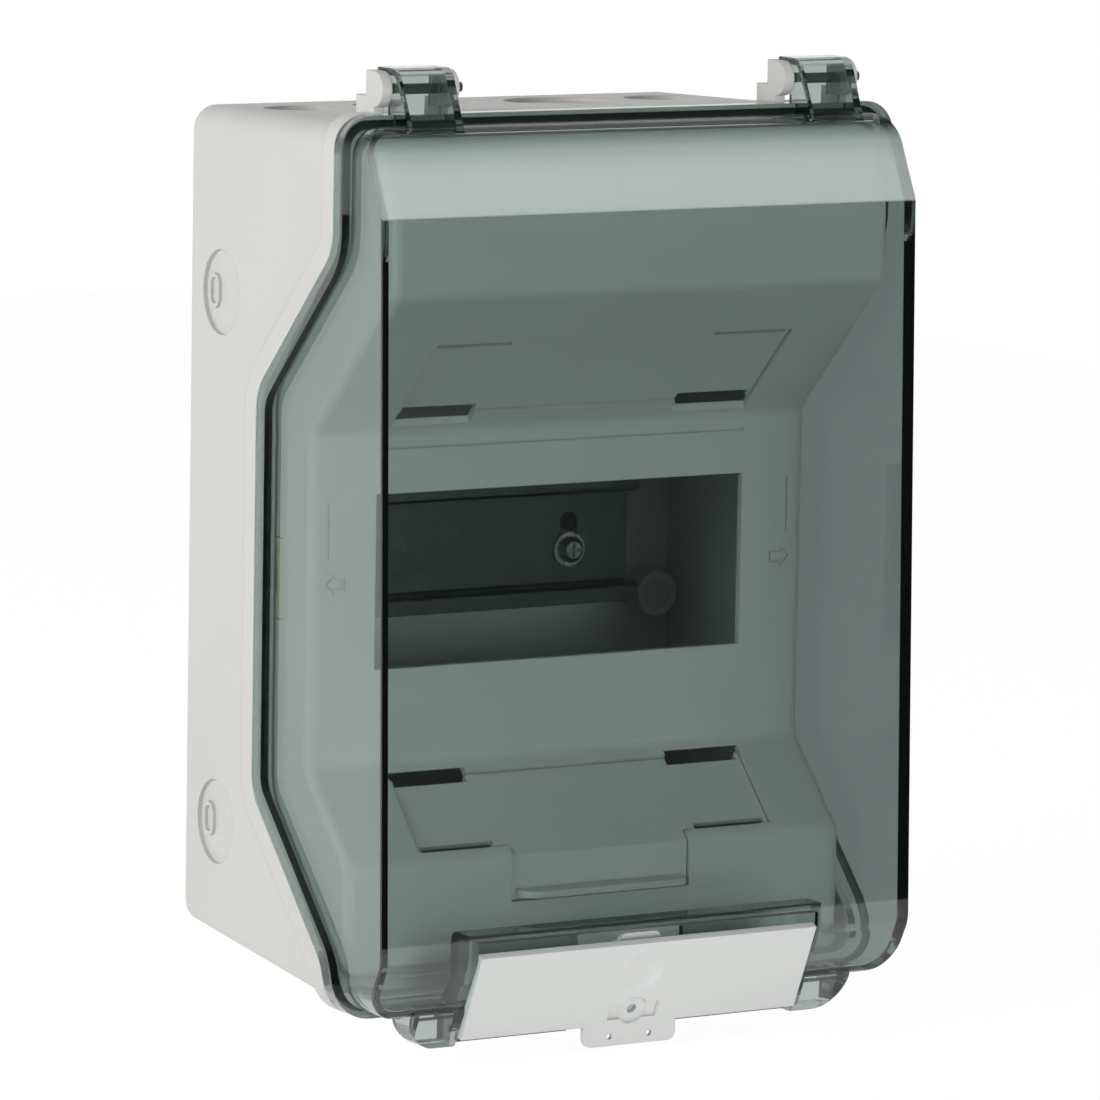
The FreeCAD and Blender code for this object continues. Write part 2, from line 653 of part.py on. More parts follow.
def pry_rings(name):
    """Oblong rings on the side knockouts, where a screwdriver breaks them out."""
    rings = []
    half = size.tag_width / 2
    rise = size.tag_height / 2
    for level, z in (("upper", size.knockout_upper), ("lower", -size.knockout_lower)):
        middle = -size.knockout_depth + half + size.tag_shift

        def loop(part, inset):
            return across(f"{name}_{level}_{part}", slot_line(
                middle, z, half - inset, rise - inset), size.rim_width / 2)

        rings.append(cut(f"{name}_{level}", loop("outer", 0), [loop("inner", size.tag_line)]))
    return rings


def hinge_ears(name, side, sign):
    """Two ears with their stepped foot on the base's top, and the seats of the pin."""
    middle = size.hinge_place * sign
    axis_y = -size.hinge_depth
    axis_z = size.hinge_height
    inner = size.strap_width / 2 + size.strap_gap
    outer = inner + size.ear_thickness
    sink = size.rim_top - size.ear_sink
    parts = []
    for ear, near, far in (("left", middle - outer, middle - inner),
                           ("right", middle + inner, middle + outer)):
        label = f"{name}_{side}_{ear}"
        knuckle = rod(f"{label}_knuckle", size.ear_radius, size.ear_thickness,
                      (near, axis_y, axis_z), TURN_TO_X)
        rear_half = block(f"{label}_straight", (near, far),
                          (axis_y, axis_y + size.ear_back),
                          (sink, axis_z + size.ear_radius))
        trim = block(f"{label}_trim", (near - PAST, far + PAST),
                     (axis_y + size.ear_back, axis_y + BEYOND),
                     (axis_z - BEYOND, axis_z + BEYOND))
        foot = block(f"{label}_foot", (near, far),
                     (axis_y + size.ear_foot_set, axis_y + size.ear_back + size.ear_step),
                     (sink, axis_z - size.ear_step_height))
        round_part = cut(f"{label}_round", knuckle, [trim])
        parts.append(fuse(label, [round_part, rear_half, foot]))
    bore = rod(f"{name}_{side}_bore", size.hinge_pin / 2 + size.thread_clearance,
               size.pin_blind + inner * 2 + size.ear_thickness + BEYOND,
               (middle - inner - size.pin_blind, axis_y, axis_z), TURN_TO_X)
    return cut(f"{name}_{side}", fuse(f"{name}_{side}_solid", parts), [bore])


def fixing_points():
    """The four places of the wall screws, as name, x and z."""
    lower = -size.fixing_lower
    upper = lower + size.fixing_pitch
    return [(f"{level}_{side}", size.fixing_place * sign, z)
            for level, z in (("lower", lower), ("upper", upper))
            for side, sign in (("left", -1), ("right", 1))]


def base_housing():
    """Tub with rim, seal groove, cover ledge, knockouts, hinge ears, pillars and bosses."""
    half = size.rim_width / 2
    outer = tapered("base_outer", sized(0), sized(0))
    inner = tapered("base_inner", size.base_wall, size.back_wall)
    lip = facing("base_lip_block", rounded_box(
        half, size.rim_top, size.rim_bottom, size.rim_corner_top, size.rim_corner_bottom),
        size.rim_front - size.rim_recess - BEYOND, size.rim_front + BEYOND)
    band = rim_band("base_lip_band", sized(0), size.rim_depth, half + BEYOND)
    shell = cut("base_shell", fuse("base_whole", [outer, common("base_lip", [lip, band])]),
                [inner])

    ledge_band = rim_band("ledge_band", size.ledge_depth,
                          size.ledge_depth + size.ledge_thickness, half + BEYOND)
    keep = size.cover_width / 2 - size.ledge_width
    ledge_hole = facing("ledge_hole", rounded_box(
        keep, size.cover_top - size.ledge_width, size.cover_bottom - size.ledge_width,
        size.cover_corner, size.cover_corner), 0, size.rim_front)
    ledge = cut("ledge", common("ledge_plate", [outer, ledge_band]), [ledge_hole])

    pillars = []
    bores = []
    for side, sign in (("left", -1), ("right", 1)):
        spot = (size.rail_slot_place * sign, 0, size.window_centre - size.screw_drop)
        front = size.rail_front - size.rail_depth
        pillars.append(rod(f"pillar_{side}", size.pillar_diameter / 2, front,
                           spot, TURN_TO_FRONT))
        bores.append(rod(f"pillar_bore_{side}", size.screw_shank / 2 + size.thread_clearance,
                         front, (spot[0], -size.back_wall - PAST, spot[2]), TURN_TO_FRONT))
    for name, x, z in fixing_points():
        pillars.append(rod(f"boss_{name}", size.fixing_boss / 2, size.fixing_height,
                           (x, 0, z), TURN_TO_FRONT))
        bores.append(rod(f"boss_{name}_hole", size.fixing_hole / 2, size.fixing_height,
                         (x, 0, z), TURN_TO_FRONT))
        bores.append(rod(f"boss_{name}_room", size.head_space / 2, size.fixing_height,
                         (x, -size.fixing_web, z), TURN_TO_FRONT))
        bores.append(rod(f"boss_{name}_seat", size.cap_diameter / 2 + size.cap_clearance,
                         size.fixing_height, (x, -size.fixing_height + size.cap_length, z),
                         TURN_TO_FRONT))

    skin = tapered("base_skin", size.knockout_cut, sized(0))
    recesses = cut("knockout_recesses", fuse("knockout_discs", knockouts("knockout")), [skin])
    tag_face = tapered("pry_face", size.knockout_cut - size.tag_rise, sized(0))
    tags = cut("pry_rings_raised",
               common("pry_rings_outer", [fuse("pry_rings_all", pry_rings("pry")), tag_face]),
               [inner])

    ears = both_sides(lambda side, sign: hinge_ears("ears", side, sign))
    groove = rim_ring("seal_groove", size.groove_inset, size.groove_width,
                      sized(-BEYOND), size.groove_depth)
    slots = []
    for side, near, far in clip_sides():
        slots.append(block(f"clip_slot_{side}", (near, far),
                           (-size.clip_front, -size.clip_rear + PAST),
                           (clip_low() - size.clip_gap, clip_high() + size.clip_gap)))
    outermost = size.cover_width / 2 + size.clip_hook_reach + size.clip_gap
    seat_half = size.clip_hook_height / 2 + size.clip_hook_clearance
    for side, near, far in (("left", -outermost, -outermost + size.clip_seat_reach),
                            ("right", outermost - size.clip_seat_reach, outermost)):
        slots.append(block(f"hook_seat_{side}", (near, far),
                           (-size.clip_rear - size.clip_hook_length - size.clip_hook_set * 2,
                            -size.clip_rear),
                           (size.window_centre - seat_half, size.window_centre + seat_half)))

    body = fuse("base_body", [cut("ledge_open", ledge, slots[:2]), shell] + pillars)
    front = across("base_front", moved(rim_line(), 0) + [(-size.rim_front * 2, LOW),
                                                         (-size.rim_front * 2, HIGH)],
                   size.rim_width)
    trimmed = cut("base_trimmed", body, [front, recesses] + slots[2:] + bores)
    whole = fuse("base_with_ears", [trimmed, tags] + ears)
    return finish(cut("base_housing", whole, [groove]), "base_housing")


def clip_low():
    """Lower end of the cover's catches."""
    return size.window_centre - size.clip_height / 2


def clip_high():
    """Upper end of the cover's catches."""
    return size.window_centre + size.clip_height / 2


def clip_sides():
    """The catches' places across: side, lower and upper limit on X."""
    edge = size.cover_width / 2
    inner = edge - size.clip_thickness
    return [("left", -edge, -inner), ("right", inner, edge)]


def rim_gasket():
    """Seal cord that fills the groove of the rim up to the rim's face."""
    seal = rim_ring("seal", size.groove_inset + size.seal_clearance,
                    size.groove_width - size.seal_clearance * 2, sized(0), size.groove_depth)
    return finish(seal, "rim_gasket")


# Inner cover: moulded mask that stands in front of the devices

def cover_line():
    """Line of the cover's face from top to bottom, as (y, z, radius)."""
    bend = size.cover_bend
    step_up = size.cover_upper_depth - size.cover_middle_depth
    step_down = size.cover_lower_depth - size.cover_middle_depth
    return [
        (-size.cover_top_depth + BEYOND * 3, size.cover_top, 0),
        (-size.cover_top_depth, size.cover_top, size.cover_edge),
        (-size.cover_upper_depth, size.cover_upper_start, bend),
        (-size.cover_upper_depth, size.cover_middle_top + step_up, bend),
        (-size.cover_middle_depth, size.cover_middle_top, bend),
        (-size.cover_middle_depth, -size.cover_middle_bottom, bend),
        (-size.cover_lower_depth, -size.cover_middle_bottom - step_down, bend),
        (-size.cover_lower_depth, -size.cover_bottom, size.cover_edge),
        (-size.cover_lower_depth + BEYOND * 3, -size.cover_bottom, 0),
    ]


def on_slant(upward, distance, depth):
    """Point (y, z) on a slanted face, at a distance from the middle face and below the face."""
    share = math.sqrt(0.5)
    corner = size.cover_middle_top if upward else size.cover_middle_bottom
    y = -size.cover_middle_depth - distance * share + sized(depth) * share
    z = corner + distance * share + sized(depth) * share
    return (y, z) if upward else (y, -z)


def slanted(name, upward, near, far, outer, inner, limits):
    """Slab along a slanted face between two distances, two depths and two limits on X."""
    corners = [on_slant(upward, near, outer), on_slant(upward, far, outer),
               on_slant(upward, far, inner), on_slant(upward, near, inner)]
    return prism(name, corners, SIDE_PLANE, *limits)


def apron_line(depth, top, bottom):
    """Line of the lower plate's apron below the slanted face, at one depth below it."""
    bend = size.cover_middle_bottom + size.cover_lower_depth - size.cover_middle_depth
    shift = math.tan(math.radians(22.5))
    return [on_slant(False, top, depth),
            (-size.cover_lower_depth + depth, -bend - sized(depth) * shift),
            (-size.cover_lower_depth + depth, bottom)]


def apron_bottom():
    """Height of the lower edge of the apron."""
    bend = size.cover_middle_bottom + size.cover_lower_depth - size.cover_middle_depth
    return -bend - size.apron_drop


def cover_openings():
    """Window, openings of the access plates and places of the catches."""
    half = size.plate_width / 2
    wall = size.cover_wall
    front = -size.cover_middle_depth
    window = block("window", (-size.window_width / 2, size.window_width / 2),
                   (front - BEYOND, front + wall + PAST),
                   (size.window_centre - size.window_height / 2,
                    size.window_centre + size.window_height / 2))
    past = wall + PAST
    upper = slanted("upper_opening", True, size.upper_plate_start, size.upper_plate_end,
                    -PAST, past, (-half, half))
    lower = slanted("lower_opening", False, size.lower_plate_start, size.lower_plate_end,
                    -PAST, past, (-half, half))
    top = size.lower_plate_end - PAST
    apron = across("apron_opening", apron_line(sized(-PAST), top, apron_bottom())
                   + apron_line(past, top, apron_bottom())[::-1], size.apron_width / 2)
    catches = [block(f"catch_{side}", (near - PAST, far + PAST),
                     (-size.clip_front, -size.clip_rear + PAST),
                     (clip_low() - size.clip_gap, clip_high() + size.clip_gap))
               for side, near, far in clip_sides()]
    return [window, upper, lower, apron] + catches + corner_slots()


def corner_slots():
    """Slots at the plates' corners next to the middle face, each with a flat ledge."""
    face = -size.cover_middle_depth
    near, far = size.plate_notch, size.plate_width / 2
    share = math.sqrt(0.5)
    tools = []
    for level, bend, start, sign in (
            ("upper", size.cover_middle_top, size.upper_plate_start, 1),
            ("lower", size.cover_middle_bottom, size.lower_plate_start, -1)):
        edge = bend + start * share
        low = edge - size.slot_reach
        for kind, depth, first, last in (
                ("slot", face + size.cover_wall + PAST, low, edge + size.cover_wall),
                ("ledge", face - size.slot_ledge_set, low - size.slot_ledge, low)):
            heights = (first, last) if sign == 1 else (-last, -first)
            for side, limits in (("left", (-far, -near)), ("right", (near, far))):
                tools.append(block(f"corner_{kind}_{level}_{side}", limits,
                                   (face - BEYOND, depth), heights))
    return tools


def arrow_outline(sign, line):
    """Corners of an arrow that points outward, every side inset by a line's width."""
    start = size.arrow_place - size.arrow_length / 2
    rise = size.arrow_height / 2
    slant = root(size.arrow_head * size.arrow_head + rise * rise)
    neck = start + size.arrow_length - size.arrow_head + line
    tip = start + size.arrow_length - slant / rise * line
    shaft = size.arrow_shaft / 2 - line
    barb = (tip - neck) * rise / size.arrow_head
    middle = size.window_centre
    upper = [(start + line, shaft), (neck, shaft), (neck, barb), (tip, sized(0))]
    lower = [(x, -z) for x, z in upper[-2::-1]]
    return [(x * sign, middle + z) for x, z in upper + lower]


def cover_marks():
    """Moulded lines: one above the window, and an arrow with a scale at each side."""
    face = -size.cover_middle_depth
    bottom = face + size.line_depth
    half_line = size.line_width / 2
    marks = [block("window_line", (-size.window_width / 2, size.window_width / 2),
                   (face - PAST, bottom),
                   (size.line_height - half_line, size.line_height + half_line))]
    for side, sign in (("left", -1), ("right", 1)):
        outer = facing(f"arrow_{side}_outer", arrow_outline(sign, 0), -bottom, -face + PAST)
        inner = facing(f"arrow_{side}_inner", arrow_outline(sign, size.line_width),
                       -bottom - PAST, -face + PAST * 2)
        marks.append(cut(f"arrow_{side}", outer, [inner]))
        x = size.scale_place * sign
        marks.append(block(f"scale_{side}", (x - half_line, x + half_line),
                           (face - PAST, bottom), (-size.scale_bottom, size.scale_top)))
    return marks


def inner_cover():
    """Mask with window, plate openings and side walls that stand on the base's ledge."""
    line = cover_line()
    half = size.cover_width / 2
    wall = size.cover_wall
    profile = across("cover_profile", line[1:-1] + [
        (REAR, -size.cover_bottom), (REAR, size.cover_top)], half)
    inner_line = moved(line, wall)
    hollow = across("cover_hollow", inner_line[1:-1] + [
        (REAR * 2, inner_line[-1][1]), (REAR * 2, inner_line[0][1])], half - wall)
    front_view = facing("cover_front_view", rounded_box(
        half, size.cover_top, size.cover_bottom, size.cover_corner, size.cover_corner),
        sized(0), size.cover_upper_depth + BEYOND)
    rear = behind_rim("cover_rear", size.ledge_depth, half + BEYOND)

    def edge_radius(box):
        """Radius of the long edges where the mask's face meets its sides."""
        beside = box.XLength < 0.01 and abs(abs(box.XMin) - half.number) < 0.01
        ahead = box.YMax < -size.cover_middle_depth.number + PAST / 2
        inside = box.ZMin > -size.cover_bottom.number + PAST / 2
        return size.cover_edge if beside and ahead and inside else None

    soft = rounded_edges("cover_soft", profile, edge_radius)
    form = cut("cover_form", common("cover_block", [soft, front_view]), [rear])
    return finish(cut("inner_cover", form, [hollow] + cover_openings() + cover_marks()),
                  "inner_cover")


def plate_slits(name, upward, near, far, wide):
    """Dark slits at a plate's corners, as cutting blocks."""
    start = size.plate_notch
    deep = size.plate_drop + size.plate_thickness + PAST
    return [slanted(f"{name}_{end}_{side}", upward, low, high, -PAST, deep, limits)
            for end, low, high in (("near", near - PAST, near + size.plate_slit),
                                   ("far", far - size.plate_slit, far + PAST))
            for side, limits in (("left", (-wide, -start)), ("right", (start, wide)))]


def upper_access_plate():
    """Snap-in plate in the upper slanted face, held by tongues behind the cover."""
    gap = size.plate_gap
    near = size.upper_plate_start + gap
    far = size.upper_plate_end - gap
    half = size.plate_width / 2 - gap
    deep = size.plate_drop + size.plate_thickness
    slab = slanted("upper_plate_slab", True, near, far, size.plate_drop, deep, (-half, half))
    tongue_half = size.plate_tongue_width / 2
    tongue = slanted("upper_plate_tongue", True, near - size.plate_tongue,
                     far + size.plate_tongue, size.cover_wall,
                     size.cover_wall + size.tongue_plate, (-tongue_half, tongue_half))
    slits = plate_slits("upper_slit", True, near, far, half - size.plate_drop)
    return finish(fuse("upper_access_plate", [cut("upper_plate_open", slab, slits), tongue]),
                  "upper_access_plate")


def lower_access_plate():
    """Snap-in plate in the lower slanted face with an apron and a finger lip."""
    gap = size.plate_gap
    near = size.lower_plate_start + gap
    far = size.lower_plate_end - gap
    half = size.plate_width / 2 - gap
    drop = size.plate_drop
    deep = drop + size.plate_thickness
    slab = slanted("lower_plate_slab", False, near, far, drop, deep, (-half, half))
    bottom = apron_bottom() + gap
    apron = across("lower_plate_apron", apron_line(drop, far - PAST, bottom)
                   + apron_line(deep, far - PAST, bottom)[::-1], size.apron_width / 2 - gap)
    tongue_half = size.plate_tongue_width / 2
    tongue = slanted("lower_plate_tongue", False, near - size.plate_tongue, far - BEYOND,
                     size.cover_wall, size.cover_wall + size.tongue_plate,
                     (-tongue_half, tongue_half))
    foot_y = -size.cover_lower_depth + size.cover_wall
    foot = block("lower_plate_foot", (-tongue_half, tongue_half),
                 (foot_y, foot_y + size.tongue_plate),
                 (bottom - size.plate_tongue, bottom + size.plate_tongue))
    reach = size.cover_lower_depth - drop + size.finger_lip_reach
    root_y = -size.cover_lower_depth + drop + size.plate_thickness / 2
    corner = size.finger_lip_corner
    wide = size.finger_lip_width / 2
    lip_low = bottom + size.finger_lip_rise
    lip = prism("finger_lip", [(-wide, -reach, corner), (wide, -reach, corner),
                               (wide, root_y), (-wide, root_y)],
                FLAT_PLANE, lip_low, lip_low + size.finger_lip_thickness)
    slits = plate_slits("lower_slit", False, near, far, half - size.plate_drop)
    return finish(fuse("lower_access_plate", [cut("lower_plate_open", slab, slits), apron,
                                              tongue, foot, lip]), "lower_access_plate")


def cover_clip(side, near, far):
    """Catch in the cover's side wall with a hook that snaps into the base's side."""
    corner = size.clip_corner
    plate = prism(f"clip_{side}_plate", [
        (-size.clip_front, clip_high()), (-size.clip_front, clip_low()),
        (-size.clip_rear, clip_low(), corner), (-size.clip_rear, clip_high(), corner),
    ], SIDE_PLANE, near, far)
    hook_low = size.window_centre - size.clip_hook_height / 2
    hook_high = size.window_centre + size.clip_hook_height / 2
    reach = size.clip_hook_reach
    deep = size.clip_groove_depth
    left = side == "left"
    hook_rear = -size.clip_rear - size.clip_hook_set
    hook = block(f"clip_{side}_hook", (near - reach, near + deep) if left
                 else (far - deep, far + reach),
                 (hook_rear - size.clip_hook_length, hook_rear), (hook_low, hook_high))
    groove = block(f"clip_{side}_groove", (near - PAST, near + deep) if left
                   else (far - deep, far + PAST),
                   (-size.clip_front + size.clip_groove_inset,
                    hook_rear - size.clip_hook_length - PAST), (hook_low, hook_high))
    return finish(cut(f"clip_{side}", fuse(f"clip_{side}_solid", [plate, hook]), [groove]),
                  f"cover_clip_{side}")


# Device rail with its screws, and the insulating caps over the wall screws

def din_rail():
    """Top-hat rail, folded from galvanised sheet, with two slots for its screws."""
    front = -size.rail_front
    rear = front + size.rail_depth
    sheet = size.rail_sheet
    bend = size.rail_bend
    lip = size.rail_height / 2
    hat = size.rail_hat / 2
    middle = size.window_centre
    inner = bend - sheet
    line = [
        (front, middle + lip), (front + sheet, middle + lip),
        (front + sheet, middle + hat, inner), (rear, middle + hat, bend),
        (rear, middle - hat, bend), (front + sheet, middle - hat, inner),
        (front + sheet, middle - lip), (front, middle - lip),
        (front, middle - hat + sheet, bend), (rear - sheet, middle - hat + sheet, inner),
        (rear - sheet, middle + hat - sheet, inner), (front, middle + hat - sheet, bend),
    ]
    bar = across("rail_bar", line, size.rail_length / 2)
    slots = [facing(f"rail_slot_{side}", slot_line(
        size.rail_slot_place * sign, middle, size.rail_slot_width / 2,
        size.rail_slot_height / 2), sized(0), size.rail_front + PAST)
        for side, sign in (("left", -1), ("right", 1))]
    return finish(cut("din_rail", bar, slots), "din_rail")


def rail_screw(side, sign):
    """Pan-head screw with a cross recess, from the rail into its pillar."""
    x = size.rail_slot_place * sign
    z = size.window_centre - size.screw_drop
    seat = -size.rail_front + size.rail_depth - size.rail_sheet - size.washer_thickness
    wall = size.screw_rim_height
    head = rod(f"screw_{side}_head", size.screw_head / 2, wall, (x, seat, z), TURN_TO_FRONT)
    crown = doc.addObject("Part::Cone", f"screw_{side}_crown")
    bind(crown, "Radius1", size.screw_head / 2)
    bind(crown, "Radius2", size.screw_crown / 2)
    bind(crown, "Height", size.screw_head_height - wall)
    place(crown, x, seat - wall, z, TURN_TO_FRONT)
    shank = rod(f"screw_{side}_shank", size.screw_shank / 2, size.screw_length,
                (x, seat, z), TURN_TO_REAR)
    arm = size.cross_length / 2
    thin = size.cross_width / 2
    top = seat - size.screw_head_height
    cross = [block(f"screw_{side}_slot_{axis}", (x - wide, x + wide),
                   (top - PAST, top + size.cross_depth), (z - high, z + high))
             for axis, wide, high in (("x", arm, thin), ("z", thin, arm))]
    solid = fuse(f"screw_{side}_solid", [head, crown, shank])
    return finish(cut(f"screw_{side}", solid, cross), f"rail_screw_{side}")


def rail_washer(side, sign):
    """Flat washer between rail and screw head."""
    x = size.rail_slot_place * sign
    z = size.window_centre - size.screw_drop
    seat = -size.rail_front + size.rail_depth - size.rail_sheet
    disc = rod(f"washer_{side}_disc", size.washer_diameter / 2, size.washer_thickness,
               (x, seat, z), TURN_TO_FRONT)
    hole = rod(f"washer_{side}_hole", size.screw_shank / 2 + size.washer_clearance, BEYOND,
               (x, seat + PAST, z), TURN_TO_FRONT)
    return finish(cut(f"washer_{side}", disc, [hole]), f"rail_washer_{side}")


def fixing_cap(name, x, z):
    """Plug that insulates a wall screw: a disc on a short skirt."""
    rear = -size.fixing_height + size.cap_length
    whole = rod(f"cap_{name}_whole", size.cap_diameter / 2, size.cap_length,
                (x, rear, z), TURN_TO_FRONT)
    room = rod(f"cap_{name}_room", size.cap_diameter / 2 - size.cap_skirt,
               size.cap_length - size.cap_thickness + PAST, (x, rear + PAST, z),
               TURN_TO_FRONT)
    return finish(cut(f"cap_{name}", whole, [room]), f"fixing_cap_{name}")


# Door: clear moulding with a flange along the rim, hinge straps and a latch pocket

def door_line():
    """Line of the door's outside from the rim over the front to the rim, as (y, z, radius)."""
    top = size.door_top
    bottom = size.door_bottom
    return [
        (REAR, top, 0),
        (-size.door_top_depth, top, size.door_top_radius),
        (-size.door_front_top, size.door_edge_top, size.door_edge_radius),
        (-size.door_front_bottom, -size.door_edge_bottom, size.door_front_radius),
        (-size.door_bottom_depth, -bottom, size.door_bottom_radius),
        (REAR, -bottom, 0),
    ]


def door_front_view(name, inset):
    """The door's outline seen from the front, a little wider at the flange."""
    half = size.rim_width / 2 - size.rim_lip - inset
    lean = size.door_draft / 2
    top = size.door_top - inset
    bottom = size.door_bottom - inset
    return drafted_box(name, (half + lean, top, bottom), (half - lean, top, bottom),
                       (-REAR, size.door_front_bottom + BEYOND),
                       size.door_corner_top - inset, size.door_corner_bottom - inset)


def pocket_line():
    """Line of the latch pocket's top and back, from the front to below, as (y, z, radius)."""
    return [
        (-size.door_front_bottom - BEYOND, -size.pocket_top, 0),
        (-size.pocket_back_top, -size.pocket_top, size.pocket_edge),
        (-size.pocket_back_top, -size.pocket_slope_top, size.pocket_bend),
        (-size.pocket_back_bottom, -size.pocket_slope_bottom, size.pocket_bend),
        (-size.pocket_back_bottom, LOW - BEYOND, 0),
    ]


def chin(name):
    """The door's part below its bottom: two cheeks beside the latch pocket."""
    half = size.chin_width / 2
    top = size.door_bottom - size.pocket_wall
    corner = size.chin_corner
    front = facing(f"{name}_view", [(-half, -top), (-half, -size.chin_bottom, corner),
                                    (half, -size.chin_bottom, corner), (half, -top)],
                   0, size.door_front_bottom + BEYOND)
    side = across(f"{name}_side", [
        (-size.chin_rear, -top), (-size.chin_front_top, -top),
        (-size.chin_front_top, -size.door_bottom),
        (-size.chin_front_bottom, -size.chin_bottom, size.chin_edge),
        (-size.chin_rear, -size.chin_bottom, size.chin_edge)], half + PAST)
    return common(name, [front, side])


def door_strap(name, side, sign):
    """Hollow strap from the door's top panel up and over the hinge pin."""
    middle = size.hinge_place * sign
    half = size.strap_width / 2
    top = size.hinge_height + size.strap_top
    back = -size.hinge_depth + size.strap_back
    front = -size.hinge_depth - size.strap_front
    foot_y, foot_z = -size.strap_foot_depth, size.strap_foot_height
    web = size.strap_foot_web
    inside = size.door_top - size.door_wall / 2
    under = size.hinge_height - size.strap_under
    root_front = -size.door_top_depth + size.strap_root
    root_back = -size.rim_front - size.door_gap - size.strap_root
    line = [
        (back, under), (back, top, size.strap_edge), (front, top, size.strap_round),
        (foot_y, foot_z), (foot_y + web, foot_z), (root_front, inside),
        (root_back, inside), (root_back, under),
    ]
    whole = prism(f"{name}_{side}_whole", line, SIDE_PLANE, middle - half, middle + half)
    wall = size.strap_wall
    hollow = prism(f"{name}_{side}_hollow", [
        (back + BEYOND, under - BEYOND), (back + BEYOND, top - wall),
        (front + wall, top - wall, size.strap_round - wall),
        (foot_y + web, foot_z + web), (foot_y + web, under - BEYOND),
    ], SIDE_PLANE, middle - half + size.strap_web, middle + half - size.strap_web)
    return cut(f"{name}_{side}", whole, [hollow]), rod(
        f"{name}_{side}_bore", size.hinge_pin / 2 + size.hinge_clearance,
        size.strap_width + PAST * 2, (middle - half - PAST, -size.hinge_depth,
                                      size.hinge_height), TURN_TO_X)


def door():
    """Clear cover over the whole front, in one piece with straps, pocket and cheeks."""
    half = size.rim_width / 2
    wall = size.door_wall
    gap = size.door_gap
    line = door_line()
    beyond_rear = behind_rim("door_rear", -gap, half + BEYOND)
    outer = common("door_outer", [door_front_view("door_view", sized(0)),
                                  across("door_profile", line, half + BEYOND)])
    hollow_line = moved(line, wall)
    hollow = common("door_hollow", [door_front_view("door_view_inner", wall),
                                    across("door_profile_inner", hollow_line, half + BEYOND)])
    flange = common("door_flange_plate", [
        facing("door_flange_view", rounded_box(half, size.rim_top, size.rim_bottom,
                                               size.rim_corner_top, size.rim_corner_bottom),
               0, size.rim_front + BEYOND),
        rim_band("door_flange_band", -gap - size.door_flange, -gap, half + BEYOND)])
    shell = cut("door_shell", fuse("door_block", [cut("door_cup", outer, [beyond_rear]),
                                                  flange]), [hollow])

    pocket_half = size.pocket_width / 2
    grow = size.pocket_wall
    pocket_corners = pocket_line() + [(-size.door_front_bottom - BEYOND, LOW - BEYOND, 0)]
    pocket = across("pocket", pocket_corners, pocket_half)
    liner_line = moved(pocket_line(), grow)
    liner = across("pocket_liner", liner_line + [
        (-size.door_front_bottom - BEYOND, LOW - BEYOND, 0)], pocket_half + grow)
    cheeks = chin("chin")
    lined = common("pocket_walls", [liner, fuse("pocket_room", [outer, cheeks])])
    deep = [block(f"cheek_core_{side}", limits,
                  (-size.chin_rear - BEYOND, -size.chin_rear + PAST),
                  (-size.chin_bottom + wall, -size.door_bottom + wall))
            for side, limits in (
                ("left", (-size.chin_width / 2 + wall, -pocket_half - grow)),
                ("right", (pocket_half + grow, size.chin_width / 2 - wall)))]
    core_front = across("cheek_core_front", [
        (-size.chin_rear + PAST, -size.door_bottom + wall),
        (-size.chin_front_top + wall, -size.door_bottom + wall),
        (-size.chin_front_bottom + wall, -size.chin_bottom),
        (-size.chin_rear + PAST, -size.chin_bottom)], half)
    cores = common("cheek_cores", [fuse("cheek_core_blocks", deep), core_front])
    below = cut("cheek_shell", cheeks, [cores])
    slot = block("nib_slot", (-size.slot_width / 2, size.slot_width / 2),
                 (-size.pocket_back_top - PAST, -size.pocket_back_top + grow + PAST),
                 (-size.slot_bottom, -size.slot_top))
    relief_half = size.tab_width / 2 + size.tab_clearance
    relief = block("tab_relief", (-relief_half, relief_half),
                   (-size.pocket_back_bottom - PAST, -size.chin_rear + PAST),
                   (-size.chin_bottom - PAST, -size.chin_bottom + size.tab_relief))
    seats = rod("latch_pin_seats", size.flap_pin / 2 + size.thread_clearance,
                size.pocket_width + size.flap_pin_seat * 2,
                (-pocket_half - size.flap_pin_seat, -size.flap_hinge_depth,
                 -size.flap_hinge_height), TURN_TO_X)

    straps, bores = zip(*both_sides(lambda side, sign: door_strap("strap", side, sign)))
    body = fuse("door_body", [shell, lined, below] + list(straps))
    return finish(cut("door", body, [pocket, slot, relief, seats] + list(bores)), "door")


def hinge_pin(side, sign):
    """Plastic pin pushed in from the right, through ears and strap."""
    inner = size.strap_width / 2 + size.strap_gap
    start = size.hinge_place * sign - inner - size.pin_blind
    pin = rod(f"pin_{side}", size.hinge_pin / 2,
              size.pin_blind + inner * 2 + size.ear_thickness + size.pin_grip,
              (start, -size.hinge_depth, size.hinge_height), TURN_TO_X)
    return finish(pin, f"hinge_pin_{side}")


# Latch flap: slanted white flap that turns on two pins in the cheeks

def flap_line():
    """Line of the flap's face from its top edge to its bottom edge, as (y, z, radius)."""
    return [(-size.flap_top_depth, -size.flap_top, 0),
            (-size.flap_bottom_depth, -size.flap_bottom, 0)]


def flap_face(z):
    """Depth (y) of the flap's face at a distance below the middle."""
    run = size.flap_top_depth - size.flap_bottom_depth
    return -size.flap_top_depth + run * (z - size.flap_top) / (size.flap_bottom - size.flap_top)


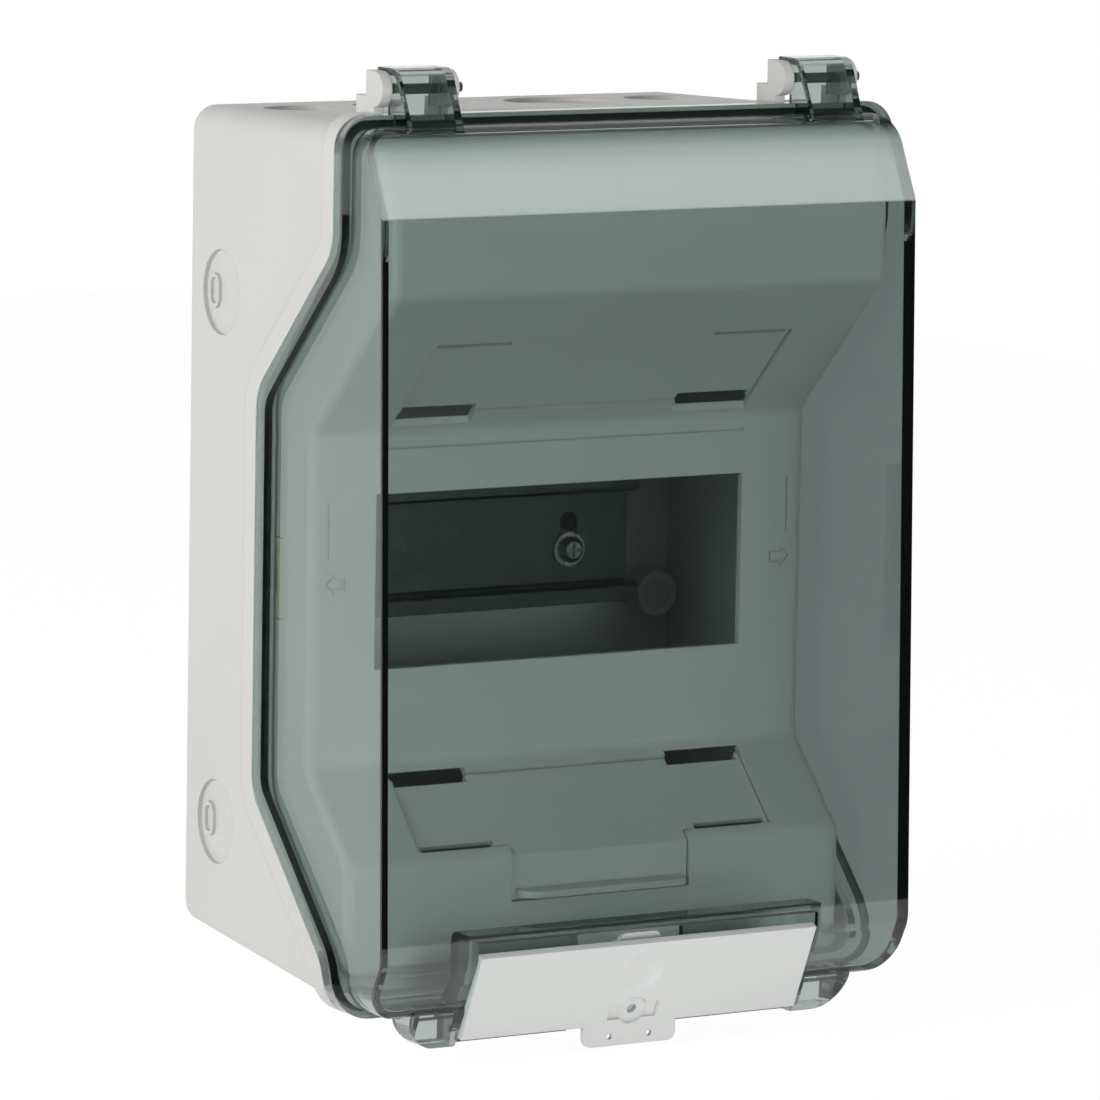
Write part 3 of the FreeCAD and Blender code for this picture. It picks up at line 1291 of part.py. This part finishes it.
def latch_flap():
    """Flap with finger dimple, lock recess, sealing tab, tongue, nib and hinge lugs."""
    half = size.pocket_width / 2 - size.flap_side_gap
    thick = size.flap_thickness
    plate = across("flap_plate", flap_line() + moved(flap_line(), thick)[::-1], half)
    slope = math.degrees(math.atan2(
        (size.flap_top_depth - size.flap_bottom_depth).number,
        (size.flap_bottom - size.flap_top).number))
    normal_turn = Rotation(Vector(1, 0, 0), 90 - slope)

    lugs = []
    axis_y, axis_z = -size.flap_hinge_depth, -size.flap_hinge_height
    for side, sign in (("left", -1), ("right", 1)):
        start = half * sign - (size.flap_lug_width if sign == 1 else 0)
        end = start + size.flap_lug_width
        eye = rod(f"lug_{side}_eye", size.flap_lug / 2, size.flap_lug_width,
                  (start, axis_y, axis_z), TURN_TO_X)
        web = prism(f"lug_{side}_web", [
            (flap_face(size.flap_hinge_height - 4) + 1, axis_z + 4),
            (flap_face(size.flap_hinge_height + 2) + 1, axis_z - 2),
            (axis_y, axis_z - size.flap_lug / 2), (axis_y, axis_z + size.flap_lug / 2),
        ], SIDE_PLANE, start, end)
        lugs += [eye, web]

    tongue_half = size.tongue_width / 2
    root_y = flap_face(size.tongue_root)
    tongue_side = across("tongue_side", [
        (-size.tongue_depth, -size.tongue_top), (-size.tongue_depth, -size.tongue_root + 2),
        (root_y + thick * 0.6, -size.tongue_root + 1), (root_y + thick * 0.6, -size.tongue_root - 2),
        (-size.tongue_depth + size.tongue_thickness, -size.tongue_root),
        (-size.tongue_depth + size.tongue_thickness, -size.tongue_top)], tongue_half)
    tongue_view = facing("tongue_view", rounded_box(
        tongue_half, -size.tongue_top, size.tongue_root + thick * 2, size.tongue_corner,
        sized(0)), 0, size.flap_top_depth + BEYOND)
    tongue = common("tongue", [tongue_side, tongue_view])
    nib = block("nib", (-size.nib_width / 2, size.nib_width / 2),
                (-size.tongue_depth + 0.5, -size.nib_reach),
                (-size.nib_top - size.nib_height, -size.nib_top))
    tab_half = size.tab_width / 2
    tab_view = facing("tab_view", rounded_box(tab_half, -size.flap_bottom + 3, size.tab_bottom,
                                              size.tab_corner * 0.1, size.tab_corner),
                      0, size.flap_top_depth)
    tab_side = across("tab_side", [
        (-size.flap_bottom_depth, -size.flap_bottom + 2.9), (-size.flap_bottom_depth, LOW - 4),
        (-size.flap_bottom_depth + size.tab_thickness, LOW - 4),
        (-size.flap_bottom_depth + size.tab_thickness, -size.flap_bottom + 2.9)], half)
    tab_cut = across("tab_cut", [
        (-size.flap_top_depth - BEYOND, -size.flap_top), (-size.flap_top_depth, -size.flap_top),
        (-size.flap_bottom_depth, -size.flap_bottom), (-size.flap_bottom_depth, LOW),
        (-size.flap_top_depth - BEYOND, LOW)], half)
    tab = cut("tab", common("tab_block", [tab_view, tab_side]), [tab_cut])

    swell = (size.dimple_diameter * size.dimple_diameter / 4 + size.dimple_depth
             * size.dimple_depth) / (size.dimple_depth * 2)
    away = swell - size.dimple_depth
    dimple = ball("dimple", swell, (
        0, flap_face(size.dimple_place) - away * math.cos(math.radians(slope)),
        -size.dimple_place - away * math.sin(math.radians(slope))))
    lock_z = -size.lock_place
    face = flap_face(size.lock_place)
    into = sized(2.0)
    start = (0, face - into * math.cos(math.radians(slope)),
             lock_z - into * math.sin(math.radians(slope)))
    round_recess = rod("lock_round", size.lock_recess / 2, into + size.lock_recess_depth, start,
                       Rotation(Vector(1, 0, 0), -(90 - slope)))
    hole = rod("lock_bore", size.lock_hole / 2, into + thick * 2, start,
               Rotation(Vector(1, 0, 0), -(90 - slope)))
    wing = size.lock_wing / 2
    wings = across("lock_wings", [
        (flap_face(size.lock_place - size.lock_wing_height / 2) - 2,
         lock_z + size.lock_wing_height / 2),
        (flap_face(size.lock_place + size.lock_wing_height / 2) - 2,
         lock_z - size.lock_wing_height / 2),
        (flap_face(size.lock_place + size.lock_wing_height / 2) + size.lock_recess_depth,
         lock_z - size.lock_wing_height / 2),
        (flap_face(size.lock_place - size.lock_wing_height / 2) + size.lock_recess_depth,
         lock_z + size.lock_wing_height / 2)], wing)
    seal_holes = [rod(f"seal_hole_{side}", size.seal_hole / 2, BEYOND,
                      (size.seal_hole_place * sign, -size.flap_bottom_depth + 5,
                       -size.tab_bottom + size.seal_hole_rise), TURN_TO_FRONT)
                  for side, sign in (("left", -1), ("right", 1))]
    bore = rod("flap_bore", size.flap_pin / 2 + size.hinge_clearance, size.pocket_width,
               (-size.pocket_width / 2, axis_y, axis_z), TURN_TO_X)
    body = fuse("flap_body", [plate, tongue, nib, tab] + lugs)
    return finish(cut("latch_flap", body, [dimple, round_recess, wings, hole, bore] + seal_holes),
                  "latch_flap")


def latch_pin(side, sign):
    """Short pin from the cheek's wall into the flap's lug."""
    end = size.pocket_width / 2 + size.flap_pin_seat
    start = end - size.flap_pin_length if sign == 1 else -end
    pin = rod(f"latch_pin_{side}_rod", size.flap_pin / 2, size.flap_pin_length,
              (start, -size.flap_hinge_depth, -size.flap_hinge_height), TURN_TO_X)
    return finish(pin, f"latch_pin_{side}")


def build_all():
    """Make every piece and return them by node name."""
    pieces = [base_housing(), rim_gasket(), inner_cover(), upper_access_plate(),
              lower_access_plate()]
    pieces += [cover_clip(*place_across) for place_across in clip_sides()]
    pieces.append(din_rail())
    pieces += both_sides(rail_screw)
    pieces += both_sides(rail_washer)
    pieces += [fixing_cap(*point) for point in fixing_points()]
    pieces.append(door())
    pieces += both_sides(hinge_pin)
    pieces.append(latch_flap())
    pieces += both_sides(latch_pin)
    return dict(pieces)


def write_parts(pieces):
    """Check every object of the document, then write one STEP file for each piece."""
    doc.recompute()
    for item in doc.Objects:
        if "Invalid" in item.State or "Error" in item.State:
            raise RuntimeError(f"{item.Name} is not built: {item.State}")
        shape = getattr(item, "Shape", None)
        if shape is not None and (shape.isNull() or not shape.isValid()):
            raise RuntimeError(f"{item.Name} has no valid shape")
    os.makedirs("parts", exist_ok=True)
    for node, item in pieces.items():
        if len(item.Shape.Solids) != 1:
            raise RuntimeError(f"{node} has {len(item.Shape.Solids)} solids")
        item.Shape.exportStep(f"parts/{node}.step")
        print(node, round(item.Shape.Volume), "mm3")


write_parts(build_all())
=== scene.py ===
import math

import bpy
from mathutils import Matrix, Vector

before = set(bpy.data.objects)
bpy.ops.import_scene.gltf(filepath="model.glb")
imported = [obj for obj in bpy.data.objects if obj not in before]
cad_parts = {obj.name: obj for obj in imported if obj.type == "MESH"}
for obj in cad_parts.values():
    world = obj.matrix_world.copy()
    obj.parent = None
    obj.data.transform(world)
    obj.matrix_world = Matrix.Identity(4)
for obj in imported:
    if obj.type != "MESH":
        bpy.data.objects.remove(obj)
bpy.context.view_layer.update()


# Base housing
# The tub that stands on the wall, moulded in one piece from light grey polycarbonate-ABS.
# Its tool was spark-eroded, so the skin is matt with a very fine even grain.

HOUSING_GREY = "#D2D1CD"
HOUSING_GREY_WORN = "#CCCBC6"
ERODED_GRAIN = 0.00045
FLOW_CLOUD = 0.045
ABS_IOR = 1.53


def linear(hex_colour):
    """Linear RGBA of an sRGB hex colour."""
    parts = [int(hex_colour[i:i + 2], 16) / 255 for i in (1, 3, 5)]
    return [p / 12.92 if p <= 0.04045 else ((p + 0.055) / 1.055) ** 2.4 for p in parts] + [1.0]


def add(tree, kind, inputs=None, **settings):
    """Add a node with its settings; an input is a value, or a socket that is linked to it."""
    node = tree.nodes.new(kind)
    for name, value in settings.items():
        setattr(node, name, value)
    for name, value in (inputs or {}).items():
        if isinstance(value, bpy.types.NodeSocket):
            tree.links.new(value, node.inputs[name])
        else:
            node.inputs[name].default_value = value
    return node


def new_material(name):
    """Empty material, its node tree and its output node."""
    material = bpy.data.materials.new(name)
    material.use_nodes = True
    tree = material.node_tree
    tree.nodes.clear()
    return material, tree, add(tree, "ShaderNodeOutputMaterial")


def moulded_plastic(name, colour, second, grain, bump, roughness, edge):
    """Opaque moulded plastic: a body colour with faint flow clouds, and a grained skin."""
    material, tree, output = new_material(name)
    place = add(tree, "ShaderNodeTexCoord").outputs["Object"]
    clouds = add(tree, "ShaderNodeTexNoise", {"Vector": place, "Scale": 1 / FLOW_CLOUD,
                                              "Detail": 2.0, "Roughness": 0.5})
    shade = add(tree, "ShaderNodeMix", {"Factor": clouds.outputs["Fac"], "A": linear(colour),
                                        "B": linear(second)}, data_type="RGBA")
    pits = add(tree, "ShaderNodeTexNoise", {"Vector": place, "Scale": 1 / grain,
                                            "Detail": 3.0, "Roughness": 0.6})
    soft = add(tree, "ShaderNodeBevel", {"Radius": edge}, samples=4)
    skin = add(tree, "ShaderNodeBump", {"Strength": bump, "Distance": grain * 0.25,
                                        "Height": pits.outputs["Fac"],
                                        "Normal": soft.outputs["Normal"]})
    polish = add(tree, "ShaderNodeMapRange", {"Value": clouds.outputs["Fac"],
                                              "To Min": roughness - 0.04,
                                              "To Max": roughness + 0.04})
    surface = add(tree, "ShaderNodeBsdfPrincipled", {
        "Base Color": shade.outputs["Result"], "Roughness": polish.outputs["Result"],
        "IOR": ABS_IOR, "Normal": skin.outputs["Normal"]})
    tree.links.new(surface.outputs["BSDF"], output.inputs["Surface"])
    return material


def finish_nodes(material, *names):
    """Give CAD nodes their finish."""
    for name in names:
        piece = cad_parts[name]
        piece.data.materials.clear()
        piece.data.materials.append(material)


housing_grained = moulded_plastic("moulded_pc_abs_light_grey", HOUSING_GREY, HOUSING_GREY_WORN,
                                  ERODED_GRAIN, 0.35, 0.46, 0.0005)
finish_nodes(housing_grained, "base_housing")


# Seal
# A cord of closed-cell EPDM foam, pressed into the groove of the base's rim.
# Foam rubber is nearly black and has no gloss; its skin shows small open pores.

SEAL_BLACK = "#17181A"
FOAM_PORE = 0.0006

foam_rubber, tree, output = new_material("epdm_foam_black")
place = add(tree, "ShaderNodeTexCoord").outputs["Object"]
pores = add(tree, "ShaderNodeTexVoronoi", {"Vector": place, "Scale": 1 / FOAM_PORE})
skin = add(tree, "ShaderNodeBump", {"Strength": 0.6, "Distance": 0.0001,
                                    "Height": pores.outputs["Distance"]})
surface = add(tree, "ShaderNodeBsdfPrincipled", {
    "Base Color": linear(SEAL_BLACK), "Roughness": 0.85, "IOR": 1.52,
    "Normal": skin.outputs["Normal"]})
tree.links.new(surface.outputs["BSDF"], output.inputs["Surface"])
finish_nodes(foam_rubber, "rim_gasket")


# Device rail
# A 35 mm top-hat rail, rolled from hot-dip galvanised sheet. Zinc crystals cover it in faint
# pale and dark flakes about 1.6 mm wide, under fine lines from the rolls.

ZINC_LIGHT = "#7B8382"
ZINC_DARK = "#737B7A"
ZINC_FLAKE = 0.0016
ROLL_LINE = 0.0004
ROLL_STRETCH = 0.02

galvanised, tree, output = new_material("hot_dip_galvanised_sheet")
place = add(tree, "ShaderNodeTexCoord").outputs["Object"]
flakes = add(tree, "ShaderNodeTexVoronoi", {"Vector": place, "Scale": 1 / ZINC_FLAKE})
tone = add(tree, "ShaderNodeSeparateColor", {"Color": flakes.outputs["Color"]})
shade = add(tree, "ShaderNodeMix", {"Factor": tone.outputs["Red"], "A": linear(ZINC_LIGHT),
                                    "B": linear(ZINC_DARK)}, data_type="RGBA")
stretch = add(tree, "ShaderNodeMapping", {"Vector": place, "Scale": (ROLL_STRETCH, 1.0, 1.0)})
lines = add(tree, "ShaderNodeTexNoise", {"Vector": stretch.outputs["Vector"],
                                         "Scale": 1 / ROLL_LINE, "Detail": 2.0})
skin = add(tree, "ShaderNodeBump", {"Strength": 0.07, "Distance": 0.00004,
                                    "Height": lines.outputs["Fac"]})
polish = add(tree, "ShaderNodeMapRange", {"Value": tone.outputs["Green"], "To Min": 0.22,
                                          "To Max": 0.26})
surface = add(tree, "ShaderNodeBsdfPrincipled", {
    "Base Color": shade.outputs["Result"], "Metallic": 1.0,
    "Roughness": polish.outputs["Result"], "Normal": skin.outputs["Normal"]})
tree.links.new(surface.outputs["BSDF"], output.inputs["Surface"])
finish_nodes(galvanised, "din_rail")


# Rail screws, washers and latch pins
# Cold-headed steel screws with a cross recess on stamped washers, all bright zinc-plated.
# The plating is smooth and slightly bluish, with a little dulling where the tool touched it.

PLATED_BRIGHT = "#C9CBCB"
PLATED_DULL = "#9C9FA0"
TOOL_RUB = 0.002

zinc_plated, tree, output = new_material("bright_zinc_plated_steel")
place = add(tree, "ShaderNodeTexCoord").outputs["Object"]
rubs = add(tree, "ShaderNodeTexNoise", {"Vector": place, "Scale": 1 / TOOL_RUB, "Detail": 3.0})
shade = add(tree, "ShaderNodeMix", {"Factor": rubs.outputs["Fac"], "A": linear(PLATED_BRIGHT),
                                    "B": linear(PLATED_DULL)}, data_type="RGBA")
polish = add(tree, "ShaderNodeMapRange", {"Value": rubs.outputs["Fac"], "To Min": 0.2,
                                          "To Max": 0.4})
surface = add(tree, "ShaderNodeBsdfPrincipled", {
    "Base Color": shade.outputs["Result"], "Metallic": 1.0,
    "Roughness": polish.outputs["Result"]})
tree.links.new(surface.outputs["BSDF"], output.inputs["Surface"])
finish_nodes(zinc_plated, "rail_screw_left", "rail_screw_right", "rail_washer_left",
             "rail_washer_right", "latch_pin_left", "latch_pin_right")


# Insulating caps
# Small plugs over the wall screws, moulded from the same grey as the base, a little darker
# and smoother because their tool was only blasted.

CAP_GREY = "#C6C5C0"
CAP_GREY_SECOND = "#BDBCB7"
BLASTED_GRAIN = 0.0005

blasted_plastic = moulded_plastic("moulded_abs_mid_grey", CAP_GREY, CAP_GREY_SECOND,
                                  BLASTED_GRAIN, 0.2, 0.4, 0.0003)
finish_nodes(blasted_plastic, "fixing_cap_lower_left", "fixing_cap_lower_right",
             "fixing_cap_upper_left", "fixing_cap_upper_right")


# Inner cover and its access plates
# The mask in front of the devices and the two plates that snap into it, moulded from grey
# ABS with a fine satin grain, a shade cooler than the base.

MASK_GREY = "#CFD2CD"
MASK_GREY_SECOND = "#C7CAC5"
SATIN_GRAIN = 0.0004

mask_satin = moulded_plastic("moulded_abs_satin_grey", MASK_GREY, MASK_GREY_SECOND, SATIN_GRAIN,
                             0.25, 0.42, 0.0004)
finish_nodes(mask_satin, "inner_cover", "upper_access_plate", "lower_access_plate")


# Cover catches
# Springy catches in the cover's sides, moulded from cream polyamide, smooth and waxy.

CATCH_CREAM = "#D9D3BC"
CATCH_CREAM_SECOND = "#CFC9B2"
WAXY_GRAIN = 0.0006

catch_waxy = moulded_plastic("moulded_pa_cream", CATCH_CREAM, CATCH_CREAM_SECOND, WAXY_GRAIN,
                             0.12, 0.36, 0.0003)
finish_nodes(catch_waxy, "cover_clip_left", "cover_clip_right")


# Door
# One clear moulding of smoky green-grey polycarbonate from a polished tool. Only the slanted
# strip at the top is finely frosted. Its colour turns darker towards the top, which is painted
# shade under the rim, and the frost fades to clear near the top.

SMOKE_TINT = "#B1BAB8"
SMOKE_DEEP = "#8E9C9B"
SMOKE_SHADOW = "#E9F0EE"
FROST_TINT = "#DFE9E6"
# Darker frost colour near the top of the strip: painted shade under the rim.
FROST_PAINTED_SHADE = "#B9C8C5"
SMOKE_DENSITY = 50.0
POLYCARBONATE_IOR = 1.585
FLOW_WAVE = 0.03
FROST_GRAIN = 0.0005
# Heights, depths and sideways slants between which the frosting starts and ends.
FROST_FOOT = (0.0893, 0.0901)
FROST_HEAD = (0.1100, 0.1045)
# Heights between which the painted shade darkens the frost towards the top.
FROST_SHADE_HEIGHTS = (0.0990, 0.1090)
FROST_FRONT = (-0.0960, -0.0970)
FROST_SLANT = (0.7, 0.35)

smoky_clear, tree, output = new_material("polycarbonate_smoky_clear")
coordinates = add(tree, "ShaderNodeTexCoord")
place = coordinates.outputs["Object"]
split = add(tree, "ShaderNodeSeparateXYZ", {"Vector": place})
facing = add(tree, "ShaderNodeSeparateXYZ", {"Vector": coordinates.outputs["Normal"]})
sideways = add(tree, "ShaderNodeMath", {0: facing.outputs["X"]}, operation="ABSOLUTE")


def ramp(value, start, end):
    """Smooth change from 0 at start to 1 at end."""
    return add(tree, "ShaderNodeMapRange", {"Value": value, "From Min": start, "From Max": end},
               interpolation_type="SMOOTHSTEP").outputs["Result"]


def product(first, second):
    """Product of two sockets."""
    return add(tree, "ShaderNodeMath", {0: first, 1: second}, operation="MULTIPLY").outputs[0]


strip = product(ramp(split.outputs["Z"], *FROST_FOOT), ramp(split.outputs["Z"], *FROST_HEAD))
strip = product(strip, ramp(split.outputs["Y"], *FROST_FRONT))
frosted = product(strip, ramp(sideways.outputs[0], *FROST_SLANT))
grain = add(tree, "ShaderNodeTexNoise", {"Vector": place, "Scale": 1 / FROST_GRAIN,
                                         "Detail": 2.0})
skin = add(tree, "ShaderNodeBump", {"Strength": 0.3, "Distance": 0.0001,
                                    "Height": grain.outputs["Fac"]})
waves = add(tree, "ShaderNodeTexNoise", {"Vector": place, "Scale": 1 / FLOW_WAVE, "Detail": 1.0})
flow = add(tree, "ShaderNodeBump", {"Strength": 0.05, "Distance": 0.0004,
                                    "Height": waves.outputs["Fac"]})
glassy = add(tree, "ShaderNodeBsdfPrincipled", {
    "Base Color": linear(SMOKE_TINT), "Roughness": 0.02, "IOR": POLYCARBONATE_IOR,
    "Transmission Weight": 1.0, "Normal": flow.outputs["Normal"]})
# Frost colour mixed towards painted shade near the top of the strip.
frost_and_painted_shade = add(tree, "ShaderNodeMix", {"Factor": ramp(split.outputs["Z"], *FROST_SHADE_HEIGHTS),
                                   "A": linear(FROST_TINT), "B": linear(FROST_PAINTED_SHADE)},
           data_type="RGBA")
milky = add(tree, "ShaderNodeBsdfPrincipled", {
    "Base Color": frost_and_painted_shade.outputs["Result"], "Roughness": 0.42, "IOR": POLYCARBONATE_IOR,
    "Transmission Weight": 0.5, "Normal": skin.outputs["Normal"]})
moulding = add(tree, "ShaderNodeMixShader", {0: frosted, 1: glassy.outputs["BSDF"],
                                             2: milky.outputs["BSDF"]})
passing = add(tree, "ShaderNodeBsdfTransparent", {"Color": linear(SMOKE_SHADOW)})
path = add(tree, "ShaderNodeLightPath")
surface = add(tree, "ShaderNodeMixShader", {0: path.outputs["Is Shadow Ray"],
                                            1: moulding.outputs["Shader"],
                                            2: passing.outputs["BSDF"]})
smoke = add(tree, "ShaderNodeVolumeAbsorption", {"Color": linear(SMOKE_DEEP),
                                                 "Density": SMOKE_DENSITY})
tree.links.new(surface.outputs["Shader"], output.inputs["Surface"])
tree.links.new(smoke.outputs["Volume"], output.inputs["Volume"])
finish_nodes(smoky_clear, "door")


# Hinge pins
# Pins of the same smoky polycarbonate, pushed through ears and straps. They are thick
# enough to look nearly black, with a polished skin.

PIN_TINT = "#56625F"

pin_clear, tree, output = new_material("polycarbonate_smoky_pin")
surface = add(tree, "ShaderNodeBsdfPrincipled", {
    "Base Color": linear(PIN_TINT), "Roughness": 0.12, "IOR": POLYCARBONATE_IOR,
    "Transmission Weight": 0.6})
tree.links.new(surface.outputs["BSDF"], output.inputs["Surface"])
finish_nodes(pin_clear, "hinge_pin_left", "hinge_pin_right")


# Latch flap
# The flap over the door's pocket, moulded from white ABS on a polished tool: a smooth satin
# skin with hardly any grain.

FLAP_WHITE = "#DFE1DF"
FLAP_WHITE_SECOND = "#D8DAD8"
POLISHED_GRAIN = 0.0007

flap_satin = moulded_plastic("moulded_abs_white", FLAP_WHITE, FLAP_WHITE_SECOND, POLISHED_GRAIN,
                             0.1, 0.34, 0.0004)
finish_nodes(flap_satin, "latch_flap")


# Floor, light and camera
# A pale floor that glows a little, a white backdrop behind the object, a dim room in front of
# it that gloss and glass see, and three soft lamps: left, front and above. The camera stands
# left of the door and a little above.

FLOOR_WHITE = "#F4F4F2"
FLOOR_HEIGHT = -0.1305
FLOOR_CORNERS = [(-1.2, -0.32, 0), (1.0, -0.32, 0), (1.0, 1.6, 0), (-1.2, 1.6, 0)]
FLOOR_STRENGTH = 1.1
FLOOR_GLOW = 0.25
FLOOR_SEEN = 0.86
ROOM_LIGHT = 0.5
ROOM_TOP_SHARE = 0.4
ROOM_DIM = "#C9D2D0"
ROOM_DIM_LIGHT = 0.12
BACKDROP_START = (-0.6, -0.1)
LAMP_TARGET = Vector((0, -0.06, 0))
CAMERA_YAW = -30.507
CAMERA_PITCH = 8.116
CAMERA_ROLL = 1.027
CAMERA_DISTANCE = 1.9167
CAMERA_TARGET = Vector((0.00735, -0.05, -0.0069))
CAMERA_LENS = 236.05

floor_mesh = bpy.data.meshes.new("floor")
floor_mesh.from_pydata(FLOOR_CORNERS, [], [(0, 1, 2, 3)])
floor = bpy.data.objects.new("floor", floor_mesh)
floor.location.z = FLOOR_HEIGHT
bpy.context.collection.objects.link(floor)

paper, tree, output = new_material("matt_white_paper")
path = add(tree, "ShaderNodeLightPath")
sharp = add(tree, "ShaderNodeMath", {0: path.outputs["Is Glossy Ray"],
                                     1: path.outputs["Is Transmission Ray"]}, operation="MAXIMUM")
seen = add(tree, "ShaderNodeMath", {0: sharp.outputs[0], 1: path.outputs["Is Camera Ray"]},
           operation="MAXIMUM").outputs[0]
matt = add(tree, "ShaderNodeBsdfDiffuse", {"Color": linear(FLOOR_WHITE)})
lift = add(tree, "ShaderNodeEmission", {"Color": (1, 1, 1, 1), "Strength": FLOOR_STRENGTH})
share = add(tree, "ShaderNodeMapRange", {"Value": seen, "To Min": FLOOR_GLOW, "To Max": FLOOR_SEEN})
surface = add(tree, "ShaderNodeMixShader", {0: share.outputs[0], 1: matt.outputs["BSDF"],
                                            2: lift.outputs["Emission"]})
tree.links.new(surface.outputs["Shader"], output.inputs["Surface"])
floor_mesh.materials.append(paper)

world = bpy.data.worlds.new("studio")
world.use_nodes = True
tree = world.node_tree
tree.nodes.clear()
path = add(tree, "ShaderNodeLightPath")
view = add(tree, "ShaderNodeTexCoord")
axes = add(tree, "ShaderNodeSeparateXYZ", {"Vector": view.outputs["Generated"]})
behind = ramp(axes.outputs["Y"], *BACKDROP_START)
sharp = add(tree, "ShaderNodeMath", {0: path.outputs["Is Glossy Ray"],
                                     1: path.outputs["Is Transmission Ray"]}, operation="MAXIMUM")
height = add(tree, "ShaderNodeMapRange", {"Value": axes.outputs["Z"], "From Min": -0.1,
                                          "From Max": 0.8, "To Min": ROOM_LIGHT,
                                          "To Max": ROOM_LIGHT * ROOM_TOP_SHARE})
room = add(tree, "ShaderNodeBackground", {"Color": (1, 1, 1, 1),
                                          "Strength": height.outputs["Result"]})
studio = add(tree, "ShaderNodeBackground", {"Color": linear(ROOM_DIM), "Strength": ROOM_DIM_LIGHT})
white = add(tree, "ShaderNodeBackground", {"Color": (1, 1, 1, 1), "Strength": 1.0})
around = add(tree, "ShaderNodeMixShader", {0: behind, 1: studio.outputs["Background"],
                                           2: white.outputs["Background"]})
glass = add(tree, "ShaderNodeMixShader", {0: sharp.outputs[0], 1: room.outputs["Background"],
                                          2: around.outputs["Shader"]})
both = add(tree, "ShaderNodeMixShader", {0: path.outputs["Is Camera Ray"],
                                         1: glass.outputs["Shader"],
                                         2: white.outputs["Background"]})
sky = add(tree, "ShaderNodeOutputWorld")
tree.links.new(both.outputs["Shader"], sky.inputs["Surface"])
bpy.context.scene.world = world

for name, spot, wide, high, power in (
        ("lamp_left", (-2.0, -0.4, 0.35), 1.0, 1.2, 27.0),
        ("lamp_front", (0.25, -2.1, 0.0), 0.6, 0.6, 15.0),
        ("lamp_above", (-0.1, 0.4, 1.9), 1.2, 1.0, 2.5)):
    lamp = bpy.data.lights.new(name, "AREA")
    lamp.shape = "RECTANGLE"
    lamp.size = wide
    lamp.size_y = high
    lamp.energy = power
    holder = bpy.data.objects.new(name, lamp)
    holder.location = spot
    aim = LAMP_TARGET - Vector(spot)
    holder.rotation_euler = aim.to_track_quat("-Z", "Y").to_euler()
    bpy.context.collection.objects.link(holder)

yaw, pitch, roll = (math.radians(a) for a in (CAMERA_YAW, CAMERA_PITCH, CAMERA_ROLL))
back = Vector((math.sin(yaw) * math.cos(pitch), -math.cos(yaw) * math.cos(pitch),
               math.sin(pitch)))
level = Vector((math.cos(yaw), math.sin(yaw), 0))
upright = back.cross(level)
right = level * math.cos(roll) + upright * math.sin(roll)
upward = upright * math.cos(roll) - level * math.sin(roll)
spot = CAMERA_TARGET + back * CAMERA_DISTANCE
lens = bpy.data.cameras.new("camera")
lens.lens = CAMERA_LENS
lens.sensor_width = 36.0
lens.clip_end = 60.0
camera = bpy.data.objects.new("camera", lens)
camera.matrix_world = Matrix(((right.x, upward.x, back.x, spot.x),
                              (right.y, upward.y, back.y, spot.y),
                              (right.z, upward.z, back.z, spot.z), (0, 0, 0, 1)))
bpy.context.collection.objects.link(camera)
bpy.context.scene.camera = camera
bpy.context.scene.view_settings.view_transform = "Standard"
